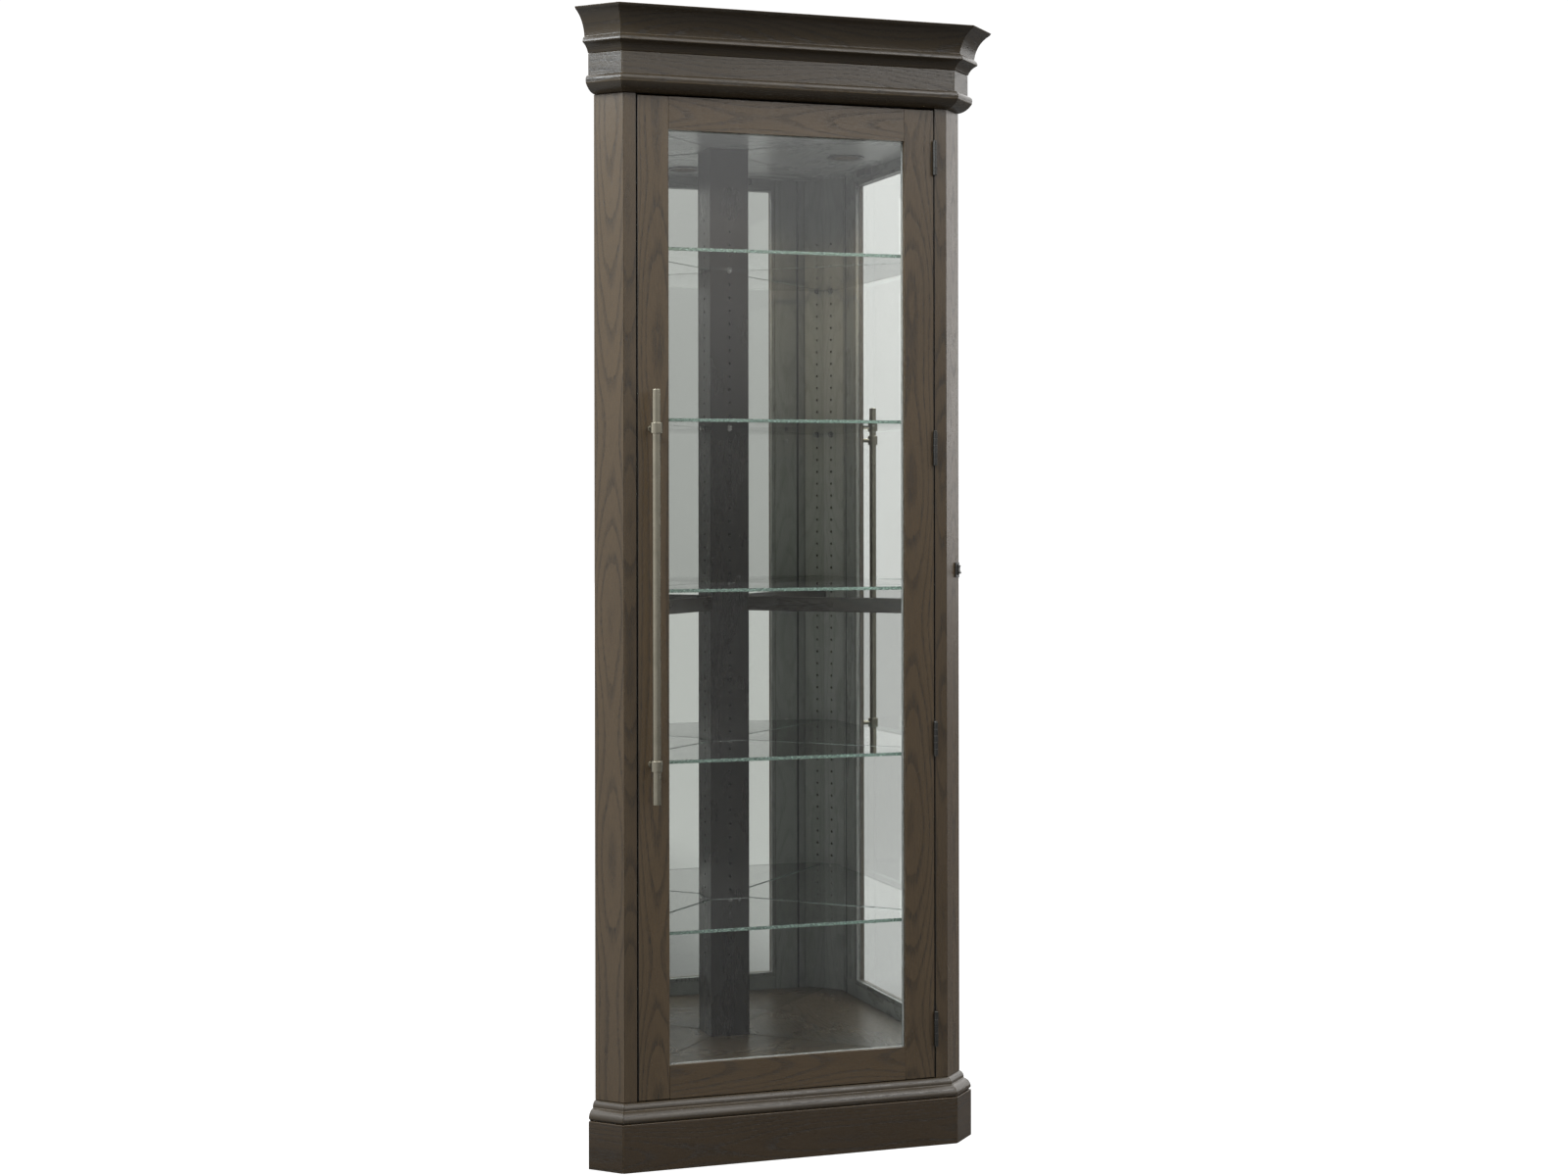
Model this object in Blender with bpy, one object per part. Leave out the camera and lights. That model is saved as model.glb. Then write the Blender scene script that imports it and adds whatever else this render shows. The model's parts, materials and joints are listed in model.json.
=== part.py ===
"""Corner curio cabinet with a glazed door, mirrored back walls and glass shelves.

Metres, +Z up, the door faces -Y.  The plan is a pentagon: a flat front, a canted side at 45
degrees on each side of it, and two back walls that meet at a right angle behind a flat post.
Plan sizes are taken from the centre line (x = 0) and the front of the case (y = 0); the parent
empty "cabinet" then moves everything so that the origin is under the middle of the whole.
"""

from math import asin, cos, pi, radians, sin, sqrt, tan

import bmesh
import bpy
from mathutils import Matrix, Vector

# Case
HEIGHT = 2.000
CASE_FRONT = 0.603  # flat front of the case, from arris to arris
CANT_WIDTH = 0.059  # each canted side, from its arris to the back wall
SIDE_THICK = 0.018
STILE_THICK = 0.020
GAP = 0.0003  # between pieces that touch
MITRE = 0.0002  # each mitred end stops this short of its mitre plane
LAP = 0.008  # how far a back panel laps into its rebates
ARC_STEPS = 8  # in each curve of a moulding
HOLE_SIDES = 32  # of the light and its hole
ROD_SIDES = 24  # of the handle's round pieces
PIN_SIDES = 16  # of the hinges' round pieces

# Base
PLINTH_H = 0.083
PLINTH_OUT = 0.0229  # how far the plinth stands proud of the case
PLINTH_THICK = 0.020
BASE_TOP = 0.1152  # top of the base moulding
BASE_IN = 0.045  # how far the base moulding reaches under the case
BASE_NOSE_IN = 0.0007  # its nose behind the face of the plinth
BASE_STEP = 0.003  # small step under its nose
BASE_EDGE = 0.007  # where its lower quarter round starts, above its foot
BASE_SHOULDER = (0.0095, 0.0125)  # the end of that round: out from the case, down from the top
BASE_FILLET = (0.0085, 0.0122)  # the start of the upper quarter round, likewise
BASE_TOP_OUT = 0.0004  # its top edge outside the case
BASE_SWELL = (0.0028, 0.0030)  # rise of the lower and of the upper round over their chords

# Frieze and crown
CROWN_H = 0.0733
FRIEZE_H = 0.068
FRIEZE_OUT = 0.0192
CROWN_OUT = 0.0648
CROWN_NOSE = 0.0384  # the small nose under the crown's cove
BEAD_OUT = 0.0278  # the bead along the foot of the frieze
BEAD_H = 0.0295
BEAD_FLAT = (0.54, 0.62)  # the flat of the bead's nose, as shares of its height
BEAD_FOOT = 0.0010  # the foot of the bead outside the case
BEAD_TOP = 0.0030  # the top of the bead outside the frieze
BEAD_SWELL = (0.0036, 0.0026)  # rise of the bead's lower and upper curve
CROWN_FOOT = 0.0007  # foot of the crown outside the frieze
CROWN_LIP = (0.0016, 0.0152)  # end of its small cove: behind the nose, above the foot
CROWN_NOSE_H = 0.0166
CROWN_WAIST = (0.0320, 0.0268)  # the hollow over the nose: out from the case, above the foot
CROWN_BROW = (0.0055, 0.0670)  # top of the deep cove: behind the face, above the foot
CROWN_CURVES = (0.0026, -0.0016, 0.0062, -0.0006)  # rises, hollow or swelling, from below
CROWN_EASE = 0.0008  # its eased upper corner
TOP_PANEL_T = 0.012
TOP_PANEL_DROP = 0.002

# Interior
DECK_T = 0.025
CEILING_T = 0.0367
DOOR_STOP = 0.0025  # between the back of the door and what it closes on
BACK_T = 0.0032
MIRROR_T = 0.003
POST_WIDTH = 0.075
POST_DEPTH = 0.022
MID_RAIL_H = 0.026
MID_RAIL_PROUD = 0.004
MID_RAIL_DROP = 0.020  # below the middle shelf

# Shelves
SHELF_COUNT = 5
SHELF_T = 0.006
SHELF_FRONT = 0.030  # behind the front of the case
SHELF_CLEAR = 0.002
SHELF_FIRST = 0.2605  # top of the lowest shelf above the deck
SHELF_LAST = 0.2245  # ceiling above the top of the highest shelf

# Door
DOOR_GAP = 0.002  # at each side
DOOR_GAP_TOP = 0.0035
DOOR_GAP_BOTTOM = 0.0015
FACE_STILE = 0.0228  # visible width beside the door
DOOR_THICK = 0.020
DOOR_STILE = 0.0565
DOOR_RAIL = 0.0578
GLASS_T = 0.004
REBATE = 0.008
LIP = 0.008  # wood left in front of the glass
TENON_L = 0.020
TENON_T = 0.006
TENON_SHOULDER = 0.010

# Handle
HANDLE_L = 0.7145
HANDLE_R = 0.007
HANDLE_OUT = 0.0327  # its axis in front of the door
HANDLE_FROM_EDGE = 0.024
HANDLE_POST_PITCH = 0.581
HANDLE_RISE = 0.0024  # middle of the bar above the middle of the door
COLLAR_R = 0.010
COLLAR_H = 0.019
HANDLE_POST_R = 0.0045
HANDLE_EASE = 0.0008  # chamfer at the ends of the bar and the collars
ROSE_R = 0.006
ROSE_T = 0.0015

# Hinges
HINGE_COUNT = 4
HINGE_END = 0.0865  # middle of an end hinge from the end of the door
HINGE_L = 0.060
HINGE_SEGMENTS = 5
KNUCKLE_R = 0.004
PIN_R = 0.0015
PIN_HEAD_R = 0.0033
PIN_HEAD_H = 0.002
LEAF_T = 0.0016
LEAF_DEPTH = 0.018
LEAF_APART = 0.0004
HINGE_OUT = 0.0045  # pin axis in front of the case
RUNNING = 0.0003  # clearance between pin and knuckle, and between knuckles

# Light, switch and catch
LIGHT_R = 0.030
LIGHT_DEPTH = 0.028
LIGHT_WALL = 0.0015
LIGHT_FLANGE_R = 0.036
LIGHT_FLANGE_T = 0.0025
LENS_T = 0.003
LENS_IN = 0.0065  # the lens lies this deep in its housing, above the ceiling's face
LIGHT_BACK = 0.125  # its axis behind the front of the case
SWITCH_Z = 1.0275
SWITCH_FROM_WALL = 0.012
SWITCH_H = 0.027
SWITCH_W = 0.016
BEZEL_T = 0.003
SWITCH_BODY_DEPTH = 0.013
SWITCH_WALL = 0.0020
ROCKER_W = 0.0080
ROCKER_H = 0.0160
ROCKER_OUT = 0.0085
ROCKER_TILT = radians(7)
ROCKER_CLEAR = 0.0011
ROCKER_FOOT = 0.003  # how far its foot reaches behind its pivot
ROCKER_DIP = 0.0022  # hollow between its two lobes
ROCKER_SLOPE = 0.7  # height of a lobe's outer corner, as a share of that hollow
ROCKER_LOBE = 0.8  # where a lobe is highest, and
ROCKER_HEEL = 0.45  # where its foot ends, as shares of half its height
PIVOT_IN = 0.002  # its pivot behind the side's outer face
CATCH_X = -0.150
CATCH_SIZE = (0.046, 0.014, 0.0130)
STRIKE_T = 0.0012

FINISH = {  # colour, roughness, metallic
    "wood": ((0.060, 0.046, 0.033), 0.45, 0.0),
    "dark_wood": ((0.043, 0.032, 0.022), 0.50, 0.0),
    "inner_wood": ((0.035, 0.032, 0.026), 0.55, 0.0),
    "hardboard": ((0.110, 0.070, 0.040), 0.80, 0.0),
    "mirror": ((0.850, 0.870, 0.850), 0.03, 1.0),
    "glass": ((0.780, 0.860, 0.820), 0.03, 0.0),
    "nickel": ((0.200, 0.185, 0.155), 0.32, 1.0),
    "bronze": ((0.070, 0.062, 0.050), 0.40, 1.0),
    "black_plastic": ((0.020, 0.020, 0.020), 0.45, 0.0),
    "light_shell": ((0.550, 0.540, 0.500), 0.30, 1.0),
    "lens": ((0.900, 0.880, 0.820), 0.50, 0.0),
}

ROOT2 = sqrt(2)
ARRIS = CASE_FRONT / 2
WALL = ARRIS + ROOT2 * CANT_WIDTH  # |x| + y over the outside of a back wall
MIRROR_FACE = WALL - ROOT2 * (BACK_T + GAP + MIRROR_T)
POST_FACE_Y = MIRROR_FACE - POST_WIDTH / 2
POST_BACK_Y = POST_FACE_Y + POST_DEPTH
MIDDLE_Y = (POST_BACK_Y - CROWN_OUT) / 2

CASE_LOW = BASE_TOP + GAP
FRIEZE_LOW = HEIGHT - CROWN_H - FRIEZE_H
CASE_HIGH = FRIEZE_LOW - GAP
TOP_PANEL_LOW = HEIGHT - TOP_PANEL_DROP - TOP_PANEL_T
CORNICE_IN = SIDE_THICK - LAP  # how far frieze and crown reach over the case
DECK_TOP = CASE_LOW + DECK_T
CEILING = CASE_HIGH - CEILING_T
INSIDE_FRONT = DOOR_THICK + DOOR_STOP
SHELF_PITCH = (CEILING - DECK_TOP - SHELF_FIRST - SHELF_LAST) / (SHELF_COUNT - 1)
SHELF_TOPS = [DECK_TOP + SHELF_FIRST + SHELF_PITCH * i for i in range(SHELF_COUNT)]
MID_RAIL_TOP = SHELF_TOPS[SHELF_COUNT // 2] - SHELF_T - MID_RAIL_DROP
MID_RAIL_LOW = MID_RAIL_TOP - MID_RAIL_H

FRAME_EDGE = ARRIS - FACE_STILE  # x of the face stile's edge towards the door
DOOR_EDGE = FRAME_EDGE - DOOR_GAP
DOOR_LOW = BASE_TOP + DOOR_GAP_BOTTOM
DOOR_HIGH = FRIEZE_LOW - DOOR_GAP_TOP
OPEN_X = DOOR_EDGE - DOOR_STILE
OPEN_LOW = DOOR_LOW + DOOR_RAIL
OPEN_HIGH = DOOR_HIGH - DOOR_RAIL
HINGE_X = FRAME_EDGE - DOOR_GAP / 2
HINGE_Y = -HINGE_OUT

SIDES = (("left", -1), ("right", 1))


# Plan geometry of the right half; the left half is its mirror image


def corner(offset):
    """Where the front and the canted side meet, each moved outwards by offset."""
    return Vector((ARRIS + offset * tan(pi / 8), -offset))


def wall_end(offset):
    """Where the canted side, moved outwards by offset, meets the back wall."""
    reach = ARRIS + ROOT2 * offset
    return Vector(((reach + WALL) / 2, (WALL - reach) / 2))


def by_wall(along, out):
    """The point at a distance along the back wall's direction and square out to it."""
    return Vector(((along + out) / ROOT2, (out - along) / ROOT2))


CANT_ALONG = ARRIS / ROOT2  # the canted side's outer face, in by_wall's first distance
SIDE_ALONG = CANT_ALONG - SIDE_THICK
POST_ALONG = (POST_WIDTH / 2 - POST_FACE_Y) / ROOT2
WALL_OUT = WALL / ROOT2
MIRROR_OUT = MIRROR_FACE / ROOT2
BACK_OUT = WALL_OUT - BACK_T


# Mesh helpers


def material(name, finish):
    colour, roughness, metallic = FINISH[finish]
    made = bpy.data.materials.new(name)
    made.use_nodes = True
    shader = made.node_tree.nodes["Principled BSDF"]
    shader.inputs["Base Color"].default_value = (*colour, 1.0)
    shader.inputs["Roughness"].default_value = roughness
    shader.inputs["Metallic"].default_value = metallic
    if finish in ("glass", "lens"):
        shader.inputs["Transmission Weight"].default_value = 1.0
    return made


def add(name, mesh, location, finish, parent, turn=0.0):
    """A mesh as a named object at location under its parent, turned about Z."""
    obj = bpy.data.objects.new(name, mesh)
    bpy.context.collection.objects.link(obj)
    if finish:
        mesh.materials.append(material(name, finish))
    obj.location = location
    obj.rotation_euler = (0, 0, turn)
    obj.parent = parent
    return obj


def to_mesh(name, bm, smooth=False):
    bmesh.ops.recalc_face_normals(bm, faces=bm.faces)
    mesh = bpy.data.meshes.new(name)
    bm.to_mesh(mesh)
    bm.free()
    if smooth:
        mesh.shade_smooth()
        mesh.set_sharp_from_angle(angle=radians(40))
    return mesh


def loft(name, rings, closed=False):
    """A closed skin over rings of points; the first and last are capped unless closed."""
    bm = bmesh.new()
    made = [[bm.verts.new(p) for p in ring] for ring in rings]
    pairs = list(zip(made, made[1:]))
    if closed:
        pairs.append((made[-1], made[0]))
    for a, b in pairs:
        for i in range(len(a)):
            j = (i + 1) % len(a)
            bm.faces.new((a[i], a[j], b[j], b[i]))
    if not closed:
        bm.faces.new(made[0])
        bm.faces.new(list(reversed(made[-1])))
    return to_mesh(name, bm)


def prism(name, outline, low, high, finish, parent, side=1):
    """A plan outline raised from low to high; side -1 mirrors it to the left."""
    points = [Vector((side * p[0], p[1])) for p in outline]
    centre = sum(points, Vector((0, 0))) / len(points)
    rings = [[(*(p - centre), z) for p in points] for z in (0, high - low)]
    return add(name, loft(name, rings), (*centre, low), finish, parent)


def block(name, low, high, finish, parent):
    """A box between two corners, its origin at its middle."""
    low, high = Vector(low), Vector(high)
    half = (high - low) / 2
    ring = [(-half.x, -half.y), (half.x, -half.y), (half.x, half.y), (-half.x, half.y)]
    rings = [[(x, y, z) for x, y in ring] for z in (-half.z, half.z)]
    return add(name, loft(name, rings), (low + high) / 2, finish, parent)


def turned(name, profile, segments, spin=None):
    """A mesh turned about Z from (radius, height) points that start and end on the axis."""
    bm = bmesh.new()
    rows = []
    for radius, height in profile:
        if radius == 0:
            rows.append([bm.verts.new((0, 0, height))] * segments)
        else:
            angles = [2 * pi * (i + 0.5) / segments for i in range(segments)]
            rows.append([bm.verts.new((radius * cos(a), radius * sin(a), height)) for a in angles])
    for a, b in zip(rows, rows[1:]):
        for i in range(segments):
            j = (i + 1) % segments
            bm.faces.new(list(dict.fromkeys((a[i], a[j], b[j], b[i]))))
    if spin:
        bm.transform(spin)
    return to_mesh(name, bm, smooth=True)


def rod(name, radius, low, high, segments, chamfer=0.0, spin=None):
    profile = [(0, low), (radius - chamfer, low), (radius, low + chamfer)]
    profile += [(radius, high - chamfer), (radius - chamfer, high), (0, high)]
    if not chamfer:
        profile = [(0, low), (radius, low), (radius, high), (0, high)]
    return turned(name, profile, segments, spin)


def combine(obj, other, operation):
    """Adds or cuts another object, which then only guides the shape."""
    other.hide_render = True
    other.display_type = "WIRE"
    boolean = obj.modifiers.new(other.name, "BOOLEAN")
    boolean.operation = operation
    boolean.solver = "EXACT"
    boolean.object = other


def cut_block(obj, low, high):
    guide = block(obj.name + "_cut", low, high, None, obj.parent)
    combine(obj, guide, "DIFFERENCE")


def arc(start, end, rise, steps=ARC_STEPS):
    """Points after start up to end on an arc that rises to the left of the way there."""
    start, end = Vector(start), Vector(end)
    chord = end - start
    half = chord.length / 2
    radius = (half * half + rise * rise) / (2 * abs(rise))
    left = Vector((-chord.y, chord.x)).normalized() * (1 if rise > 0 else -1)
    centre = (start + end) / 2 + left * (abs(rise) - radius)
    first = start - centre
    swing = 2 * asin(half / radius) * (-1 if rise > 0 else 1)
    turns = [Matrix.Rotation(swing * i / steps, 2) for i in range(1, steps)]
    return [tuple(centre + turn @ first) for turn in turns] + [tuple(end)]


# Mouldings that run round the front and the canted sides


def moulding_run(name, profile, low, finish, parent):
    """Front, left and right lengths of one (offset, height) section, mitred together."""
    front = []
    for side in (-1, 1):
        plan = [corner(o) for o, _ in profile]
        front.append([(side * (p.x - MITRE), p.y, z) for p, (_, z) in zip(plan, profile)])
    add(name + "_front", loft(name + "_front", front), (0, 0, low), finish, parent)
    slip = Vector((1, 1)).normalized() * MITRE
    for word, side in SIDES:
        starts = [corner(o) + slip for o, _ in profile]
        ends = [wall_end(o) for o, _ in profile]
        origin = Vector((corner(0).x, 0))
        rings = []
        for row in (starts, ends):
            rings.append(
                [(side * (p.x - origin.x), p.y, z) for p, (_, z) in zip(row, profile)]
            )
        mesh = loft(f"{name}_{word}", rings)
        add(f"{name}_{word}", mesh, (side * origin.x, 0, low), finish, parent)


def plinth_section():
    inner = PLINTH_OUT - PLINTH_THICK
    return [(inner, 0), (PLINTH_OUT, 0), (PLINTH_OUT, PLINTH_H), (inner, PLINTH_H)]


def base_section():
    """Two quarter rounds with a fillet between them, over a flat that lies on the plinth."""
    top = BASE_TOP - PLINTH_H - GAP
    nose = PLINTH_OUT - BASE_NOSE_IN
    edge = (nose, BASE_EDGE)
    shoulder = (BASE_SHOULDER[0], top - BASE_SHOULDER[1])
    fillet = (BASE_FILLET[0], top - BASE_FILLET[1])
    step = nose - BASE_STEP
    points = [(-BASE_IN, 0), (step, 0), (step, BASE_STEP), (nose, BASE_STEP), edge]
    points += arc(edge, shoulder, -BASE_SWELL[0])
    points += [fillet]
    points += arc(fillet, (BASE_TOP_OUT, top), -BASE_SWELL[1])
    points += [(-BASE_IN, top)]
    return points


def frieze_section():
    """A flat board; along its foot, a quarter round that swells out to a rounded bead."""
    top = FRIEZE_H - GAP
    foot = (BEAD_FOOT, 0)
    nose, over = [(BEAD_OUT, BEAD_H * share) for share in BEAD_FLAT]
    points = [(-CORNICE_IN, 0), foot]
    points += arc(foot, nose, -BEAD_SWELL[0])
    points += [over]
    points += arc(over, (FRIEZE_OUT + BEAD_TOP, BEAD_H), -BEAD_SWELL[1])
    points += [(FRIEZE_OUT, BEAD_H), (FRIEZE_OUT, top), (-CORNICE_IN, top)]
    return points


def crown_section():
    """From below: a small cove, a nose, a hollow, a deep cove and the top fillet."""
    top = CROWN_H - GAP
    foot = (FRIEZE_OUT + CROWN_FOOT, 0)
    lip = (CROWN_NOSE - CROWN_LIP[0], CROWN_LIP[1])
    nose = (CROWN_NOSE, CROWN_NOSE_H)
    brow = (CROWN_OUT - CROWN_BROW[0], CROWN_BROW[1])
    cove, hollow, deep_cove, fillet = CROWN_CURVES
    points = [(-CORNICE_IN, 0), foot]
    points += arc(foot, lip, cove)
    points += [nose]
    points += arc(nose, CROWN_WAIST, hollow)
    points += arc(CROWN_WAIST, brow, deep_cove, 2 * ARC_STEPS)
    points += arc(brow, (CROWN_OUT, top - CROWN_EASE), fillet, ARC_STEPS // 2)
    points += [(CROWN_OUT - CROWN_EASE, top), (-CORNICE_IN, top)]
    return points


def top_panel(parent):
    front = corner(-CORNICE_IN - GAP)
    rear = wall_end(-CORNICE_IN - GAP)
    half = [front, rear, Vector((WALL - POST_BACK_Y, POST_BACK_Y))]
    high = HEIGHT - TOP_PANEL_DROP
    prism("top_panel", both_sides(half), TOP_PANEL_LOW, high, "inner_wood", parent)


def both_sides(half):
    """A whole outline from its right half."""
    return [tuple(p) for p in half] + [(-p[0], p[1]) for p in reversed(half)]


# Case


def hinge_heights():
    first = DOOR_LOW + HINGE_END
    pitch = (DOOR_HIGH - DOOR_LOW - 2 * HINGE_END) / (HINGE_COUNT - 1)
    return [first + pitch * i for i in range(HINGE_COUNT)]


def leaf_recesses(side):
    """Boxes that let the hinge leaves into the edge on one side of the gap."""
    deep = LEAF_APART / 2 + LEAF_T + GAP
    xs = sorted((HINGE_X + side * DOOR_GAP / 4, HINGE_X + side * deep))
    half = HINGE_L / 2 + GAP
    return [
        ((xs[0], -REBATE, z - half), (xs[1], LEAF_DEPTH + GAP, z + half))
        for z in hinge_heights()
    ]


def face_stiles(parent):
    for word, side in SIDES:
        outer = corner(0) - Vector((MITRE, 0))
        inner = corner(-STILE_THICK) - Vector((MITRE, 0))
        outline = [(FRAME_EDGE, 0), outer, inner, (FRAME_EDGE, STILE_THICK)]
        name = "face_stile_" + word
        stile = prism(name, outline, CASE_LOW, CASE_HIGH, "wood", parent, side)
        if side > 0:
            for low, high in leaf_recesses(1):
                cut_block(stile, low, high)


def side_panels(parent):
    slip = Vector((1, 1)).normalized() * MITRE
    for word, side in SIDES:
        outline = [
            corner(0) + slip,
            by_wall(CANT_ALONG, WALL_OUT),
            by_wall(SIDE_ALONG + LAP, WALL_OUT),
            by_wall(SIDE_ALONG + LAP, BACK_OUT - GAP),
            by_wall(SIDE_ALONG, BACK_OUT - GAP),
            corner(-SIDE_THICK) + slip,
        ]
        name = "side_panel_" + word
        panel = prism(name, outline, CASE_LOW, CASE_HIGH, "wood", parent, side)
        if side > 0:
            switch_recess(panel)


def back_post(parent):
    step = BACK_OUT - GAP
    half = [
        by_wall(POST_ALONG, MIRROR_OUT),
        by_wall(POST_ALONG, step),
        by_wall(POST_ALONG - LAP, step),
        by_wall(POST_ALONG - LAP, WALL_OUT),
    ]
    rear = Vector((WALL - POST_BACK_Y, POST_BACK_Y))
    if rear.x < half[-1].x:
        half.append(rear)
    high = TOP_PANEL_LOW - GAP
    prism("back_post", both_sides(half), 0, high, "dark_wood", parent)


def wall_board(name, ends, outs, heights, finish, parent, side):
    outline = [
        by_wall(ends[0], outs[0]),
        by_wall(ends[1], outs[0]),
        by_wall(ends[1], outs[1]),
        by_wall(ends[0], outs[1]),
    ]
    return prism(name, outline, heights[0], heights[1], finish, parent, side)


def back_walls(parent):
    board_ends = (POST_ALONG - LAP + GAP, SIDE_ALONG + LAP - GAP)
    glass_ends = (POST_ALONG + GAP, SIDE_ALONG - GAP)
    board_heights = (CASE_LOW, TOP_PANEL_LOW - GAP)
    mirror_outs = (MIRROR_OUT, BACK_OUT - GAP)
    rail_outs = (MIRROR_OUT - MID_RAIL_PROUD, BACK_OUT - GAP)
    upper = (MID_RAIL_TOP + GAP, CEILING - GAP)
    lower = (DECK_TOP + GAP, MID_RAIL_LOW - GAP)
    rail = (MID_RAIL_LOW, MID_RAIL_TOP)
    for word, side in SIDES:
        outs = (BACK_OUT, WALL_OUT)
        wall_board("back_panel_" + word, board_ends, outs, board_heights, "hardboard", parent, side)
        wall_board("mirror_upper_" + word, glass_ends, mirror_outs, upper, "mirror", parent, side)
        wall_board("mirror_lower_" + word, glass_ends, mirror_outs, lower, "mirror", parent, side)
        wall_board("mid_rail_" + word, glass_ends, rail_outs, rail, "dark_wood", parent, side)


def inner_outline(clear, out):
    """Right half of a floor inside the case, kept clear of the sides, back walls and post."""
    front = INSIDE_FRONT
    side = SIDE_ALONG - clear
    post_front = POST_FACE_Y - clear
    past_post = POST_ALONG + clear
    face = (post_front + past_post * ROOT2, post_front)
    half = [
        (front + side * ROOT2, front),
        by_wall(side, out),
        by_wall(past_post, out),
        face,
    ]
    return [Vector(p) for p in half]


def deck_and_ceiling(parent):
    outline = both_sides(inner_outline(GAP, BACK_OUT - GAP))
    prism("bottom_deck", outline, CASE_LOW, DECK_TOP, "inner_wood", parent)
    panel = prism("ceiling_panel", outline, CEILING, CASE_HIGH, "inner_wood", parent)
    hole = rod("light_hole", LIGHT_R + GAP, -CEILING_T, 2 * CEILING_T, HOLE_SIDES)
    guide = add("light_hole", hole, (0, LIGHT_BACK, CEILING), None, parent)
    combine(panel, guide, "DIFFERENCE")


def shelves(parent):
    """Six-sided glass shelves, clear of the sides, the mirrors and the post."""
    side = SIDE_ALONG - SHELF_CLEAR
    out = MIRROR_OUT - SHELF_CLEAR
    face_y = POST_FACE_Y - SHELF_CLEAR
    half = [
        (SHELF_FRONT + side * ROOT2, SHELF_FRONT),
        by_wall(side, out),
        (out * ROOT2 - face_y, face_y),
    ]
    for number, top in enumerate(SHELF_TOPS, 1):
        name = f"glass_shelf_{number}"
        prism(name, both_sides(half), top - SHELF_T, top, "glass", parent)


# Door, in the frame of its hinge axis


def door_point(x, y, z):
    return Vector((x - HINGE_X, y - HINGE_Y, z))


def door_block(name, low, high, finish, parent):
    return block(name, door_point(*low), door_point(*high), finish, parent)


def door_cut(obj, low, high):
    cut_block(obj, door_point(*low), door_point(*high))


def tenon_heights(low, high, inner_low):
    """Heights of a tenon inside a rail that has its glass rebate below or above."""
    if inner_low:
        return low + REBATE + TENON_SHOULDER / 2, high - TENON_SHOULDER
    return low + TENON_SHOULDER, high - REBATE - TENON_SHOULDER / 2


def rail_spans():
    return (("bottom", DOOR_LOW, OPEN_LOW, False), ("top", OPEN_HIGH, DOOR_HIGH, True))


def tenon_thickness():
    middle = (LIP + DOOR_THICK) / 2
    return middle - TENON_T / 2, middle + TENON_T / 2


def door_stiles(parent):
    past = GAP + REBATE
    front, back = tenon_thickness()
    for word, side in SIDES:
        xs = sorted((side * OPEN_X, side * DOOR_EDGE))
        low = (xs[0], 0, DOOR_LOW)
        stile = door_block("door_stile_" + word, low, (xs[1], DOOR_THICK, DOOR_HIGH), "wood", parent)
        rebate = sorted((side * (OPEN_X - past), side * (OPEN_X + REBATE)))
        low = (rebate[0], LIP, DOOR_LOW - past)
        door_cut(stile, low, (rebate[1], DOOR_THICK + past, DOOR_HIGH + past))
        mortise = sorted((side * OPEN_X, side * (OPEN_X + REBATE + TENON_L + GAP)))
        for _, rail_low, rail_high, inner_low in rail_spans():
            bottom, top = tenon_heights(rail_low, rail_high, inner_low)
            low = (mortise[0], front - GAP, bottom - GAP)
            door_cut(stile, low, (mortise[1], back + GAP, top + GAP))
        if side > 0:
            for low, high in leaf_recesses(-1):
                door_cut(stile, low, high)


def door_rails(parent):
    front, back = tenon_thickness()
    reach = OPEN_X + REBATE - GAP
    past = GAP + REBATE
    for word, rail_low, rail_high, inner_low in rail_spans():
        low = (-reach, 0, rail_low)
        name = "door_rail_" + word
        rail = door_block(name, low, (reach, DOOR_THICK, rail_high), "wood", parent)
        edge = (rail_low - past, rail_low + REBATE)
        if not inner_low:
            edge = (rail_high - REBATE, rail_high + past)
        low = (-reach - past, LIP, edge[0])
        door_cut(rail, low, (reach + past, DOOR_THICK + past, edge[1]))
        for side in (-1, 1):
            xs = sorted((side * (OPEN_X - GAP), side * (reach + past)))
            low = (xs[0], -past, rail_low - past)
            door_cut(rail, low, (xs[1], LIP + GAP, rail_high + past))
            bottom, top = tenon_heights(rail_low, rail_high, inner_low)
            xs = sorted((side * (reach - TENON_L / 2), side * (reach + TENON_L)))
            low = (xs[0], front, bottom)
            tenon = door_block(name + "_tenon", low, (xs[1], back, top), None, parent)
            combine(rail, tenon, "UNION")


def door_glass(parent):
    edge = REBATE - GAP
    xs, low, high = OPEN_X + edge, OPEN_LOW - edge, OPEN_HIGH + edge
    front = LIP + GAP
    back = front + GLASS_T
    door_block("door_glass", (-xs, front, low), (xs, back, high), "glass", parent)
    bead = door_block(
        "glazing_bead", (-xs, back + GAP, low), (xs, DOOR_THICK - GAP, high), "wood", parent
    )
    inner = (-OPEN_X, back - GAP, OPEN_LOW)
    door_cut(bead, inner, (OPEN_X, DOOR_THICK + GAP, OPEN_HIGH))


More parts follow.
